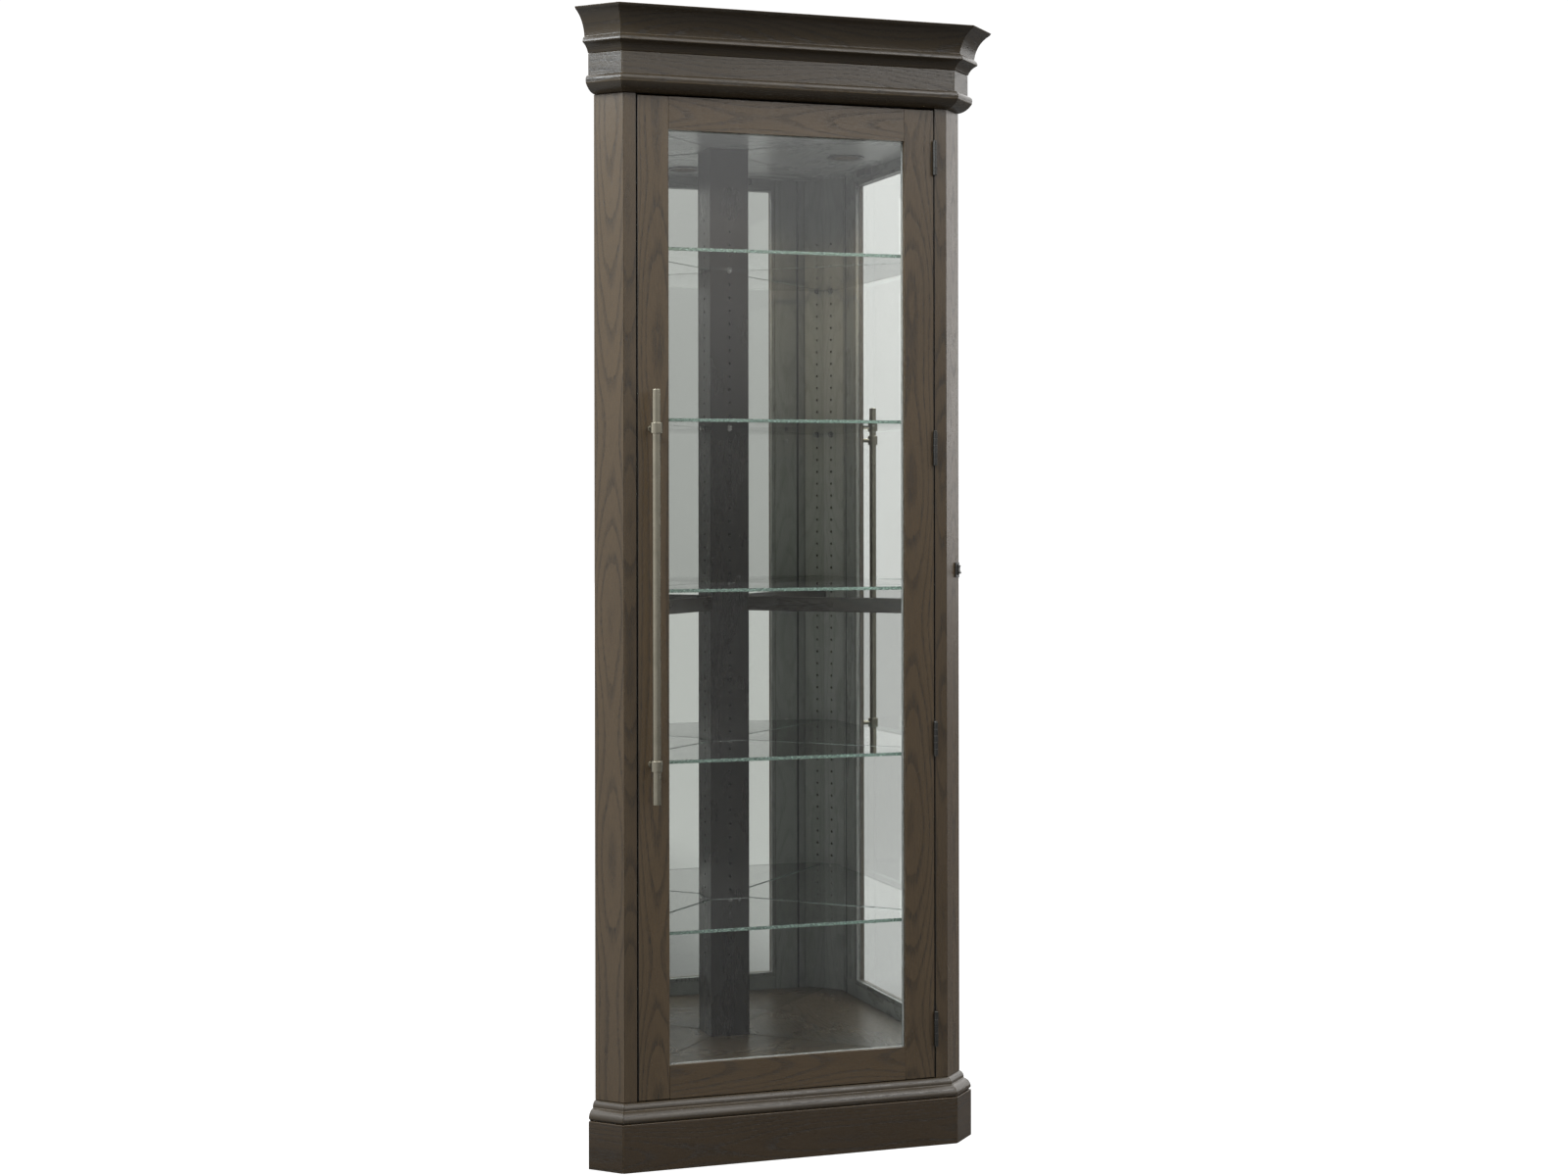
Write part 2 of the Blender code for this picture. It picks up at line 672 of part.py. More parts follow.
def handle(parent):
    """A round bar through two collars that stand on the door."""
    x = -DOOR_EDGE + HANDLE_FROM_EDGE
    middle = (DOOR_LOW + DOOR_HIGH) / 2 + HANDLE_RISE
    at = door_point(x, -HANDLE_OUT, middle)
    bar = rod("handle_bar", HANDLE_R, -HANDLE_L / 2, HANDLE_L / 2, ROD_SIDES, HANDLE_EASE)
    add("handle_bar", bar, at, "nickel", parent)
    inwards = Matrix.Rotation(-pi / 2, 4, "X")
    for word, rise in (("lower", -HANDLE_POST_PITCH / 2), ("upper", HANDLE_POST_PITCH / 2)):
        name = "handle_post_" + word
        place = at + Vector((0, 0, rise))
        collar = rod(name, COLLAR_R, -COLLAR_H / 2, COLLAR_H / 2, ROD_SIDES, HANDLE_EASE)
        post = add(name, collar, place, "nickel", parent)
        end = HANDLE_OUT - GAP
        profile = [(0, 0), (HANDLE_POST_R, 0), (HANDLE_POST_R, end - ROSE_T)]
        profile += [(ROSE_R, end - ROSE_T), (ROSE_R, end), (0, end)]
        shape = turned(name, profile, ROD_SIDES, inwards)
        stem = add(name + "_stem", shape, place, None, parent)
        combine(post, stem, "UNION")
        bore = rod(name, HANDLE_R + GAP, -COLLAR_H, COLLAR_H, ROD_SIDES)
        combine(post, add(name + "_bore", bore, place, None, parent), "DIFFERENCE")


# Hinges


def segment_ends(number, own):
    """Where a hinge's segment starts and stops; its own are shortened to run free."""
    step = HINGE_L / HINGE_SEGMENTS
    trim = RUNNING / 2 * (1 if own else -1)
    low = -HINGE_L / 2 + step * number + (trim if number > 0 else 0)
    high = -HINGE_L / 2 + step * (number + 1) - (trim if number < HINGE_SEGMENTS - 1 else 0)
    return low, high


def leaf_mesh(name, side, own):
    """A leaf seen from the side, raised where its own knuckles are, as a thin plate."""
    reach = PIN_R + RUNNING + LEAF_T / 2 - GAP
    clear = KNUCKLE_R + RUNNING
    points = []
    for i in range(HINGE_SEGMENTS):
        y = reach if i in own else clear
        low, high = segment_ends(i, i in own)
        points += [(y, low), (y, high)]
    back = LEAF_DEPTH - HINGE_Y
    points += [(back, HINGE_L / 2), (back, -HINGE_L / 2)]
    xs = (side * LEAF_APART / 2, side * (LEAF_APART / 2 + LEAF_T))
    return loft(name, [[(x, y, z) for y, z in points] for x in xs])


def hinge_leaf(name, side, own, at, parent):
    leaf = add(name, leaf_mesh(name, side, own), at, "bronze", parent)
    for i in own:
        low, high = segment_ends(i, True)
        knuckle = rod(f"{name}_knuckle_{i}", KNUCKLE_R, low, high, PIN_SIDES)
        combine(leaf, add(f"{name}_knuckle_{i}", knuckle, at, None, parent), "UNION")
    bore = rod(name + "_bore", PIN_R + RUNNING, -HINGE_L, HINGE_L, PIN_SIDES)
    combine(leaf, add(name + "_bore", bore, at, None, parent), "DIFFERENCE")


def hinges(cabinet, door):
    odd = [i for i in range(HINGE_SEGMENTS) if i % 2]
    even = [i for i in range(HINGE_SEGMENTS) if not i % 2]
    for number, z in enumerate(hinge_heights(), 1):
        fixed = (HINGE_X, HINGE_Y, z)
        hinge_leaf(f"hinge_{number}_frame_leaf", 1, even, fixed, cabinet)
        hinge_leaf(f"hinge_{number}_door_leaf", -1, odd, (0, 0, z), door)
        top = HINGE_L / 2 + RUNNING
        profile = [(0, -HINGE_L / 2 - RUNNING), (PIN_R, -HINGE_L / 2 - RUNNING), (PIN_R, top)]
        profile += [(PIN_HEAD_R, top), (PIN_HEAD_R, top + PIN_HEAD_H), (0, top + PIN_HEAD_H)]
        name = f"hinge_{number}_pin"
        add(name, turned(name, profile, PIN_SIDES), fixed, "bronze", cabinet)


# Light, switch and catch


def light(parent):
    inner = LIGHT_R - LIGHT_WALL
    flange = -GAP - LIGHT_FLANGE_T
    profile = [
        (0, LIGHT_DEPTH),
        (LIGHT_R, LIGHT_DEPTH),
        (LIGHT_R, -GAP),
        (LIGHT_FLANGE_R, -GAP),
        (LIGHT_FLANGE_R, flange),
        (inner, flange),
        (inner, LIGHT_DEPTH - LIGHT_WALL),
        (0, LIGHT_DEPTH - LIGHT_WALL),
    ]
    at = (0, LIGHT_BACK, CEILING)
    add("light_housing", turned("light_housing", profile, HOLE_SIDES), at, "light_shell", parent)
    lens = rod("light_lens", inner - GAP, LENS_IN, LENS_IN + LENS_T, HOLE_SIDES)
    add("light_lens", lens, at, "lens", parent)


def switch_place():
    """Middle of the switch on the right canted side's outer face."""
    return by_wall(CANT_ALONG, WALL_OUT - SWITCH_FROM_WALL)


def pocket_half():
    """Half width and half height of the hollow that the rocker moves in."""
    return ROCKER_W / 2 + GAP, ROCKER_H / 2 + ROCKER_CLEAR


def body_half():
    width, height = pocket_half()
    return width + SWITCH_WALL, height + SWITCH_WALL


def turned_guide(obj, low, high, at, turn):
    """A cut made in a frame turned with a canted side."""
    guide = block(obj.name + "_cut", low, high, None, obj.parent)
    middle = guide.location.copy()
    guide.location = Vector(at) + Matrix.Rotation(turn, 3, "Z") @ middle
    guide.rotation_euler = (0, 0, turn)
    combine(obj, guide, "DIFFERENCE")


def switch_recess(panel):
    width, height = body_half()
    at = (*switch_place(), SWITCH_Z)
    low = (-width - GAP, -SIDE_THICK, -height - GAP)
    high = (width + GAP, SWITCH_BODY_DEPTH + GAP, height + GAP)
    turned_guide(panel, low, high, at, pi / 4)


def switch(parent):
    at = Vector((*switch_place(), SWITCH_Z))
    width, height = body_half()
    spin = Matrix.Rotation(pi / 4, 3, "Z")
    name = "switch_housing"
    low, high = (-SWITCH_W / 2, -BEZEL_T, -SWITCH_H / 2), (SWITCH_W / 2, -GAP, SWITCH_H / 2)
    housing = block(name, low, high, "black_plastic", parent)
    housing.location = at + spin @ housing.location
    housing.rotation_euler = (0, 0, pi / 4)
    body = block(name + "_body", (-width, -BEZEL_T / 2, -height), (width, SWITCH_BODY_DEPTH, height),
                 None, parent)
    body.location = at + spin @ body.location
    body.rotation_euler = (0, 0, pi / 4)
    combine(housing, body, "UNION")
    width, height = pocket_half()
    depth = SWITCH_BODY_DEPTH - SWITCH_WALL
    turned_guide(housing, (-width, -2 * BEZEL_T, -height), (width, depth, height), at, pi / 4)


def rocker(pivot):
    """Two lobes with a dip between them, tilted to its rest; its origin is its pivot."""
    half = ROCKER_H / 2
    peak = -ROCKER_OUT - PIVOT_IN
    shoulder = peak + ROCKER_DIP * ROCKER_SLOPE
    lobe, heel = half * ROCKER_LOBE, half * ROCKER_HEEL
    points = [(ROCKER_FOOT, -heel), (-BEZEL_T, -half), (shoulder, -half), (peak, -lobe)]
    points += arc((peak, -lobe), (peak, lobe), -ROCKER_DIP)
    points += [(shoulder, half), (-BEZEL_T, half), (ROCKER_FOOT, heel)]
    tilt = Matrix.Rotation(-ROCKER_TILT, 2)
    tilted = [tilt @ Vector(p) for p in points]
    rings = [[(x, p.x, p.y) for p in tilted] for x in (-ROCKER_W / 2, ROCKER_W / 2)]
    add("switch_rocker", loft("switch_rocker", rings), (0, 0, 0), "black_plastic", pivot)


def catch(cabinet, door):
    width, depth, height = CATCH_SIZE
    top = CEILING - GAP
    face = DOOR_THICK + GAP + STRIKE_T + GAP
    low = (CATCH_X - width / 2, face, top - height)
    high = (CATCH_X + width / 2, face + depth, top)
    block("magnetic_catch", low, high, "black_plastic", cabinet)
    back = DOOR_THICK + GAP
    low = (CATCH_X - width / 2, back, top - height)
    door_block("strike_plate", low, (CATCH_X + width / 2, back + STRIKE_T, top), "nickel", door)


# Assembly


def empty(name, location, parent=None, turn=0.0):
    made = bpy.data.objects.new(name, None)
    bpy.context.collection.objects.link(made)
    made.location = location
    made.rotation_euler = (0, 0, turn)
    made.parent = parent
    return made


def main():
    for obj in list(bpy.data.objects):
        bpy.data.objects.remove(obj, do_unlink=True)
    cabinet = empty("cabinet", (0, -MIDDLE_Y, 0))
    door = empty("door_hinge_axis", (HINGE_X, HINGE_Y, 0), cabinet)
    pivot_plan = switch_place() + Vector((-1, 1)).normalized() * PIVOT_IN
    pivot = empty("rocker_pivot", (*pivot_plan, SWITCH_Z), cabinet, pi / 4)

    moulding_run("plinth", plinth_section(), 0, "dark_wood", cabinet)
    moulding_run("base_moulding", base_section(), PLINTH_H + GAP, "wood", cabinet)
    moulding_run("frieze", frieze_section(), FRIEZE_LOW, "wood", cabinet)
    moulding_run("crown", crown_section(), HEIGHT - CROWN_H + GAP, "wood", cabinet)
    top_panel(cabinet)
    face_stiles(cabinet)
    side_panels(cabinet)
    back_post(cabinet)
    back_walls(cabinet)
    deck_and_ceiling(cabinet)
    shelves(cabinet)
    door_stiles(door)
    door_rails(door)
    door_glass(door)
    handle(door)
    hinges(cabinet, door)
    light(cabinet)
    switch(cabinet)
    rocker(pivot)
    catch(cabinet, door)


main()
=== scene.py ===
"""Corner curio cabinet: finishes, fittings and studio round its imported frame.

Sizes are in metres.  The cabinet faces -Y, its door is hinged on the +X side, and its two back
walls run at 45 degrees to a flat post at +Y.  Boards are copies of the frame's own with their
edges eased; glass, mirrors, metal and plastic get the same care.  What the frame leaves out is
made here: shelf pins and their holes, hinge screws and the nails of the back panels.
"""

import json
from math import cos, pi, radians, sin
from random import Random

import bmesh
import bpy
from bpy.props import FloatProperty, FloatVectorProperty, IntProperty, PointerProperty
from mathutils import Matrix, Vector

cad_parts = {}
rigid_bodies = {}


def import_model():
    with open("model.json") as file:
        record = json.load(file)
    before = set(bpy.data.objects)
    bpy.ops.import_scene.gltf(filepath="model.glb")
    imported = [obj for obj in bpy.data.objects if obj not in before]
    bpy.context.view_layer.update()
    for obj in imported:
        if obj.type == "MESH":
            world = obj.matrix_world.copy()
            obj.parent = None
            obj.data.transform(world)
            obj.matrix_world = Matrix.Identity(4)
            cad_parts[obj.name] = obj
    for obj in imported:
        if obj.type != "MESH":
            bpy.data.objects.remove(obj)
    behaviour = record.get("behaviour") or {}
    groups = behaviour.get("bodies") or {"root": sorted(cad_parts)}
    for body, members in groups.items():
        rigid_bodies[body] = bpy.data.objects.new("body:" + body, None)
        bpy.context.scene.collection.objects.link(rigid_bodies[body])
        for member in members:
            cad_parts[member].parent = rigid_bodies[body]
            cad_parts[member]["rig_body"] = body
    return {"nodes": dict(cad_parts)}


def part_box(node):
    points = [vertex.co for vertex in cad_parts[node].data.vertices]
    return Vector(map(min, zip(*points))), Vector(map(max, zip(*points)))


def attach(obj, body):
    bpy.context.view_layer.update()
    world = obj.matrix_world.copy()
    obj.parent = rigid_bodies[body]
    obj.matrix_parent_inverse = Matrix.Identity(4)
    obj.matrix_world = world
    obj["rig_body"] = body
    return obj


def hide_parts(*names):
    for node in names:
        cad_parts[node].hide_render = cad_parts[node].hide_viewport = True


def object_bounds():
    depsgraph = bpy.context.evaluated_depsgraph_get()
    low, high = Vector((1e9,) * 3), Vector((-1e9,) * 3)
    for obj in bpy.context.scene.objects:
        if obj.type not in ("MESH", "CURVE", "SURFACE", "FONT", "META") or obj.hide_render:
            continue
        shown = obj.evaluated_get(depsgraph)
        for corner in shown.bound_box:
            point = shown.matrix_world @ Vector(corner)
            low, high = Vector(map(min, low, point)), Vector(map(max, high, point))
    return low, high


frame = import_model()
CAD_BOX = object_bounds()

bl_info = {
    "name": "Corner Curio Cabinet",
    "version": (1, 0, 0),
    "blender": (4, 5, 0),
    "location": "3D View > Sidebar > Curio",
    "description": "Finishes, fittings and studio for a glazed corner cabinet",
    "category": "Add Mesh",
}

MERGE = 1e-5  # points of a frame mesh closer than this are one
SHARP = radians(28)  # steeper edges are eased, flatter ones are part of a curve
OVERCUT = 0.0001  # how far a bit stands out of what it bores, and a screw lies below it
FLAT = radians(0.4)  # faces that meet at less are one flat
SHADE_SHARP = radians(38)  # steeper edges keep a crease in the shading
FACES_ONE_WAY = 0.9  # how squarely a face looks along a direction to count as facing it
LEAF_SIDE = 0.0002  # a hinge leaf's face is this far from the plane through the pin
SCREW_INSET = 0.0075  # the screws from a leaf's rear edge
# The last share darkens the pore colour into painted shade on the sides of boards along gaps.
STILE_SHADE, DECK_SHADE, POST_SHADE, GAP_SHADOW = 0.85, 0.8, 0.6, 0.6  # shares of a stain
NAIL_INSET = 0.004  # the nails from the edges of a back panel
HANDLE_SCREW = 1.7  # heads of the handle's screws against those of the hinges
EASES = {  # eased edges of the smaller pieces
    "bar end": 0.0010, "catch": 0.0008, "collar": 0.0006, "rocker": 0.0006, "switch": 0.0005,
    "hinge pin": 0.0004, "light": 0.0004, "strike plate": 0.0003, "hinge leaf": 0.00025,
}

RIGHT = Vector((1, 0, 0))
REAR = Vector((0, 1, 0))
UP = Vector((0, 0, 1))
RIGHT_REAR = Vector((1, 1, 0)).normalized()  # also along the right canted side
LEFT_REAR = Vector((-1, 1, 0)).normalized()  # also along the left canted side
RIGHT_FRONT = -LEFT_REAR
LEFT_FRONT = -RIGHT_REAR
CANTS = {"left": (LEFT_REAR, LEFT_FRONT), "right": (RIGHT_REAR, RIGHT_FRONT)}  # along, outwards
WALLS = {"left": (LEFT_FRONT, LEFT_REAR), "right": (RIGHT_FRONT, RIGHT_REAR)}  # along, outwards


def middle(node):
    low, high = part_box(node)
    return (low + high) / 2


def numbered(stem):
    """Every node whose name starts with stem, in order of height."""
    names = [name for name in frame["nodes"] if name.startswith(stem)]
    return sorted(names, key=lambda name: middle(name).z)


SHELVES = numbered("glass_shelf_")
HINGES = [name[: -len("_pin")] for name in numbered("hinge_") if name.endswith("_pin")]


# Settings


def setting_of(make, **limits):
    """A maker of settings of one kind."""
    return lambda name, description, default: make(
        name=name, description=description, default=default, **limits
    )


colour = setting_of(FloatVectorProperty, subtype="COLOR", min=0, max=1)
length = setting_of(FloatProperty, min=0, unit="LENGTH", precision=4)
share = setting_of(FloatProperty, min=0, max=1, subtype="FACTOR")
power = setting_of(FloatProperty, min=0, unit="POWER")
level = setting_of(FloatProperty, min=0)
angle = setting_of(FloatProperty, subtype="ANGLE")
how_many = setting_of(IntProperty, min=1)
if_any = setting_of(IntProperty, min=0)


class CurioWood(bpy.types.PropertyGroup):
    stain: colour("Case stain", "Stain of the case and door", (0.072, 0.049, 0.027))
    moulding_stain: colour("Moulding stain", "Stain of frieze and mouldings", (0.034, 0.024, 0.013))
    pore: colour("Pores", "Stain that lies dark in the open pores", (0.012, 0.009, 0.006))
    plinth_stain: colour("Plinth stain", "Darker stain of the plinth", (0.034, 0.022, 0.011))
    inner_stain: colour("Inner stain", "Stain inside the case", (0.022, 0.018, 0.013))
    # Painted haze: a pale grey for the faces inside, standing in for the light haze of the mirrors
    # and door glass in front of them.
    inner_grey: colour("Inner grey", "Smoky lacquer on the faces inside", (0.285, 0.282, 0.268))
    hardboard: colour("Hardboard", "Bare face of the back panels", (0.150, 0.088, 0.048))
    ring: length("Growth ring", "Width of one year's growth", 0.0034)
    figure: length("Figure", "How far the growth wanders along a board", 0.060)
    lacquer: share("Lacquer roughness", "Roughness of the satin lacquer", 0.28)
    arris: length("Eased edge", "Width of the eased edges of the boards", 0.0009)
    # Lightened eased edges are partly wear and partly painted highlight; on frieze and mouldings
    # they are mostly painted highlight lines.
    wear: share("Edge wear", "How far rubbed edges lose their stain", 0.14)
    moulding_wear: share("Moulding wear", "The same on frieze and mouldings", 0.70)


class CurioGlass(bpy.types.PropertyGroup):
    sheet: colour("Sheet glass", "Tint of the panes and shelves", (0.985, 0.995, 0.988))
    edge: colour("Glass edge", "Green of a shelf seen through its edge", (0.36, 0.50, 0.42))
    silver: colour("Silvering", "Tint of the mirrors", (0.87, 0.885, 0.86))
    lens: colour("Light lens", "Frosted lens of the ceiling light", (0.50, 0.49, 0.46))
    glow: colour("Lamp glow", "Colour of the lamp behind the lens", (1.00, 0.80, 0.52))
    lamp: power("Lamp", "Power of the ceiling light", 6.0)
    ember: level("Lens glow", "How strongly the lens itself glows", 0.25)
    film: share("Film", "How much a cleaning cloth's film dulls the glass", 0.008)
    seam: length("Seamed edge", "Width of the ground edges of the glass", 0.0006)


class CurioMetal(bpy.types.PropertyGroup):
    pewter: colour("Pewter", "Plating of the handle", (0.275, 0.255, 0.200))
    hinge: colour("Hinge steel", "Dark oiled steel of the hinges", (0.064, 0.063, 0.060))
    zinc: colour("Zinc", "Plating of pins, screws and strike plate", (0.520, 0.510, 0.480))
    shell: colour("Light shell", "Dark satin metal of the ceiling light", (0.090, 0.085, 0.075))
    plastic: colour("Plastic", "Moulded switch and catch", (0.048, 0.046, 0.042))


class CurioFittings(bpy.types.PropertyGroup):
    pin_radius: length("Pin radius", "Shank of a shelf pin", 0.0025)
    pin_reach: length("Pin reach", "How far a shelf pin stands out of the wood", 0.0085)
    holes_between: how_many("Holes between shelves", "From one shelf to the next", 12)
    spare_holes: if_any("Spare holes", "Past the lowest and the highest shelf", 4)
    hole_depth: length("Hole depth", "Depth of a shelf-pin hole", 0.0080)
    screw_radius: length("Screw head", "Radius of a hinge screw's head", 0.0026)
    screw_pitch: length("Screw pitch", "Between the screws of a hinge leaf", 0.0200)
    nail_pitch: length("Nail pitch", "Between the nails of a back panel", 0.1500)
    nail_radius: length("Nail head", "Radius of a nail's head", 0.0024)


class CurioStage(bpy.types.PropertyGroup):
    camera_place: FloatVectorProperty(
        name="Camera", description="Where the camera stands", subtype="TRANSLATION",
        unit="LENGTH", default=(-1.4148, -4.1436, 1.1461),
    )
    camera_turn: angle("Camera turn", "Turn of the level camera towards the right", 0.3195)
    camera_roll: angle("Camera roll", "Lean of the camera", -0.0015)
    lens: setting_of(FloatProperty, unit="CAMERA")("Lens", "Focal length on the sensor", 55.2)
    shift: setting_of(FloatVectorProperty, size=2)("Shift", "Across and up", (0.0288, -0.0529))
    floor: colour("Floor", "Paint of the studio floor", (0.11, 0.11, 0.11))
    backdrop: level("Backdrop", "Brightness behind the cabinet", 1.06)
    shine: level("Shine", "Brightness of the studio in glass and polish in front", 0.66)
    ambient: level("Ambient", "Soft light from all round, strongest from above", 0.82)
    key: power("Key light", "Power of the large light", 62)
    side: power("Side light", "Power of the light beside it", 18)


SETTINGS = {
    "curio_wood": CurioWood,
    "curio_glass": CurioGlass,
    "curio_metal": CurioMetal,
    "curio_fittings": CurioFittings,
    "curio_stage": CurioStage,
}


# Node trees

FLOAT, VECTOR = "NodeSocketFloat", "NodeSocketVector"


def plug(tree, socket, value):
    """Joins an output to a socket, or sets the socket's own value."""
    if isinstance(value, bpy.types.NodeSocket):
        tree.links.new(value, socket)
    elif isinstance(value, bpy.types.Material):
        socket.default_value = value
    elif hasattr(value, "__len__") and len(value) == 3 and len(socket.default_value) == 4:
        socket.default_value = (*value, 1.0)
    else:
        socket.default_value = value


def put(tree, kind, inputs=None, **settings):
    """A new node with its settings and its inputs, named or by number."""
    node = tree.nodes.new(kind)
    for key, value in settings.items():
        setattr(node, key, value)
    for key, value in (inputs or {}).items():
        plug(tree, node.inputs[key], value)
    return node


def calc(tree, operation, *values, clamp=False):
    node = put(tree, "ShaderNodeMath", dict(enumerate(values)), operation=operation)
    node.use_clamp = clamp
    return node.outputs[0]


def times(tree, first, second):
    return calc(tree, "MULTIPLY", first, second)


def scaled(tree, value, factor, plus):
    return calc(tree, "MULTIPLY_ADD", value, factor, plus)


def stretch(tree, vector, scale):
    """The vector with each axis scaled."""
    node = put(tree, "ShaderNodeVectorMath", {0: vector, 1: scale}, operation="MULTIPLY")
    return node.outputs[0]


def noise(tree, vector, scale, detail=2.0, roughness=0.5):
    """Noise with one scale, or with one for each axis."""
    if isinstance(scale, tuple):
        vector, scale = stretch(tree, vector, scale), 1.0
    inputs = {"Vector": vector, "Scale": scale, "Detail": detail, "Roughness": roughness}
    return put(tree, "ShaderNodeTexNoise", inputs).outputs["Fac"]


def swing(tree, value, reach):
    """Noise turned into a swing to both sides of nothing."""
    return times(tree, calc(tree, "SUBTRACT", value, 0.5), reach)


def mix(tree, factor, first, second):
    return put(tree, "ShaderNodeMix", {0: factor, 2: first, 3: second}).outputs[0]


def fade(tree, value, low, high, out_low=0.0, out_high=1.0):
    """A smooth step from low to high."""
    inputs = {"Value": value, 1: low, 2: high, 3: out_low, 4: out_high}
    node = put(tree, "ShaderNodeMapRange", inputs, interpolation_type="SMOOTHSTEP")
    return node.outputs["Result"]


def blend_colour(tree, factor, first, second):
    inputs = {0: factor, 6: first, 7: second}
    return put(tree, "ShaderNodeMix", inputs, data_type="RGBA").outputs[2]


def new_group(name, kind, inputs, outputs):
    """A node group with typed sockets; gives the tree, its inputs and its output node."""
    tree = bpy.data.node_groups.new(name, kind)
    for label, (socket_type, default) in inputs.items():
        socket = tree.interface.new_socket(label, in_out="INPUT", socket_type=socket_type)
        if default is not None:
            socket.default_value = default
    for label, socket_type in outputs.items():
        tree.interface.new_socket(label, in_out="OUTPUT", socket_type=socket_type)
    return tree, tree.nodes.new("NodeGroupInput").outputs, tree.nodes.new("NodeGroupOutput")


def mask_group(name, outputs, **floats):
    """A shader group that turns coordinates and numbers into masks and other plain values."""
    inputs = {"Vector": (VECTOR, None), **{key: (FLOAT, value) for key, value in floats.items()}}
    return new_group(name, "ShaderNodeTree", inputs, dict.fromkeys(outputs, FLOAT))


def give_out(tree, out, *values):
    """Joins a group's outputs in their order; gives the tree."""
    for socket, value in zip(out.inputs, values):
        plug(tree, socket, value)
    return tree


def shared(maker):
    """A node group that is built once, under its maker's name."""
    name = maker.__name__.replace("_", " ").capitalize()
    return bpy.data.node_groups.get(name) or maker(name)


def place(tree, maker, **inputs):
    node = put(tree, "ShaderNodeGroup", node_tree=shared(maker))
    for key, value in inputs.items():
        plug(tree, node.inputs[key], value)
    return node.outputs


# Waves of the wood to the metre, X along the grain
SWAY = (1.5, 0.5, 0.5)  # the growth leans out of the board
RIPPLE = (7, 45, 45)  # the rings waver
CLOUD = (3.5, 16, 16)  # the tone drifts
FIBRE = (24, 900, 900)
FLECK = (62, 1500, 1500)  # the pores
RIPPLE_REACH = 0.0030
SPRING = 0.05, 0.42  # the part of a year in which open wood turns dense
YEAR_END = 0.93, 1.0
LATE_TONE, EARLY_TONE = 0.68, -0.42  # lightness of dense wood, and what open wood adds
LATE_PORES, EARLY_PORES = 0.30, 0.62
FIBRE_TONE, CLOUD_TONE = 0.60, 0.55
OPEN_PORE = 0.50, 0.66
PORE_RISE, TONE_RISE = -0.8, 0.35  # relief


def oak_grain(name):
    """Growth rings cut by a flat board: X along the grain, Z into the board, pith at Y = Z = 0."""
    outputs = "Tone", "Pores", "Height"
    tree, given, out = mask_group(name, outputs, Ring=0.004, Figure=0.1)
    board = given["Vector"]
    axes = put(tree, "ShaderNodeSeparateXYZ", {0: board}).outputs
    wander = swing(tree, noise(tree, board, SWAY, detail=1.0), given["Figure"])
    depth = calc(tree, "ADD", axes["Z"], wander)
    squares = [calc(tree, "POWER", leg, 2.0) for leg in (axes["Y"], depth)]
    radius = calc(tree, "SQRT", calc(tree, "ADD", *squares))
    ripple = swing(tree, noise(tree, board, RIPPLE, detail=3.0), RIPPLE_REACH)
    years = calc(tree, "DIVIDE", calc(tree, "ADD", radius, ripple), given["Ring"])
    season = calc(tree, "FRACT", years)
    early = calc(tree, "SUBTRACT", 1.0, fade(tree, season, *SPRING))
    early = calc(tree, "MAXIMUM", early, fade(tree, season, *YEAR_END))
    fibre = swing(tree, noise(tree, board, FIBRE, roughness=0.6), FIBRE_TONE)
    cloud = swing(tree, noise(tree, board, CLOUD, detail=3.0), CLOUD_TONE)
    tone = calc(tree, "ADD", scaled(tree, early, EARLY_TONE, LATE_TONE), fibre)
    tone = calc(tree, "ADD", tone, cloud, clamp=True)
    open_pores = fade(tree, noise(tree, board, FLECK, detail=1.0), *OPEN_PORE)
    pores = scaled(tree, early, EARLY_PORES, LATE_PORES)
    pores = times(tree, open_pores, pores)
    height = times(tree, tone, TONE_RISE)
    height = scaled(tree, pores, PORE_RISE, height)
    return give_out(tree, out, tone, pores, height)


def rubbed_edges(name):
    """Where hands and cloths wear an edge, and where eased edges get a painted highlight: the edge
    mask broken up along its length.
    """
    tree, given, out = mask_group(name, ["Mask"], Edge=0.0, Wear=0.4)
    patches = noise(tree, given["Vector"], (28, 28, 28), detail=4.0, roughness=0.65)
    broken = fade(tree, patches, 0.38, 0.62, 0.35, 1.0)
    mask = times(tree, times(tree, given["Edge"], broken), given["Wear"])
    return give_out(tree, out, mask)


def brushing(name):
    """Fine lines along X, with slow smudges over them."""
    tree, given, out = mask_group(name, ["Lines", "Smudge"], Fineness=2600.0)
    lined = stretch(tree, given["Vector"], (0.012, 1.0, 1.0))
    lines = noise(tree, lined, given["Fineness"], detail=3.0, roughness=0.7)
    smudge = noise(tree, given["Vector"], 38.0, detail=4.0, roughness=0.6)
    return give_out(tree, out, lines, smudge)


def cloth_marks(name):
    """The faint uneven film that a cleaning cloth leaves on glass."""
    tree, given, out = mask_group(name, ["Roughness"], Amount=0.02, Clean=0.0)
    swirl = noise(tree, given["Vector"], (5, 5, 2.6), detail=4.0, roughness=0.65)
    film = times(tree, fade(tree, swirl, 0.58, 0.74), given["Amount"])
    return give_out(tree, out, calc(tree, "ADD", film, given["Clean"]))


# Materials

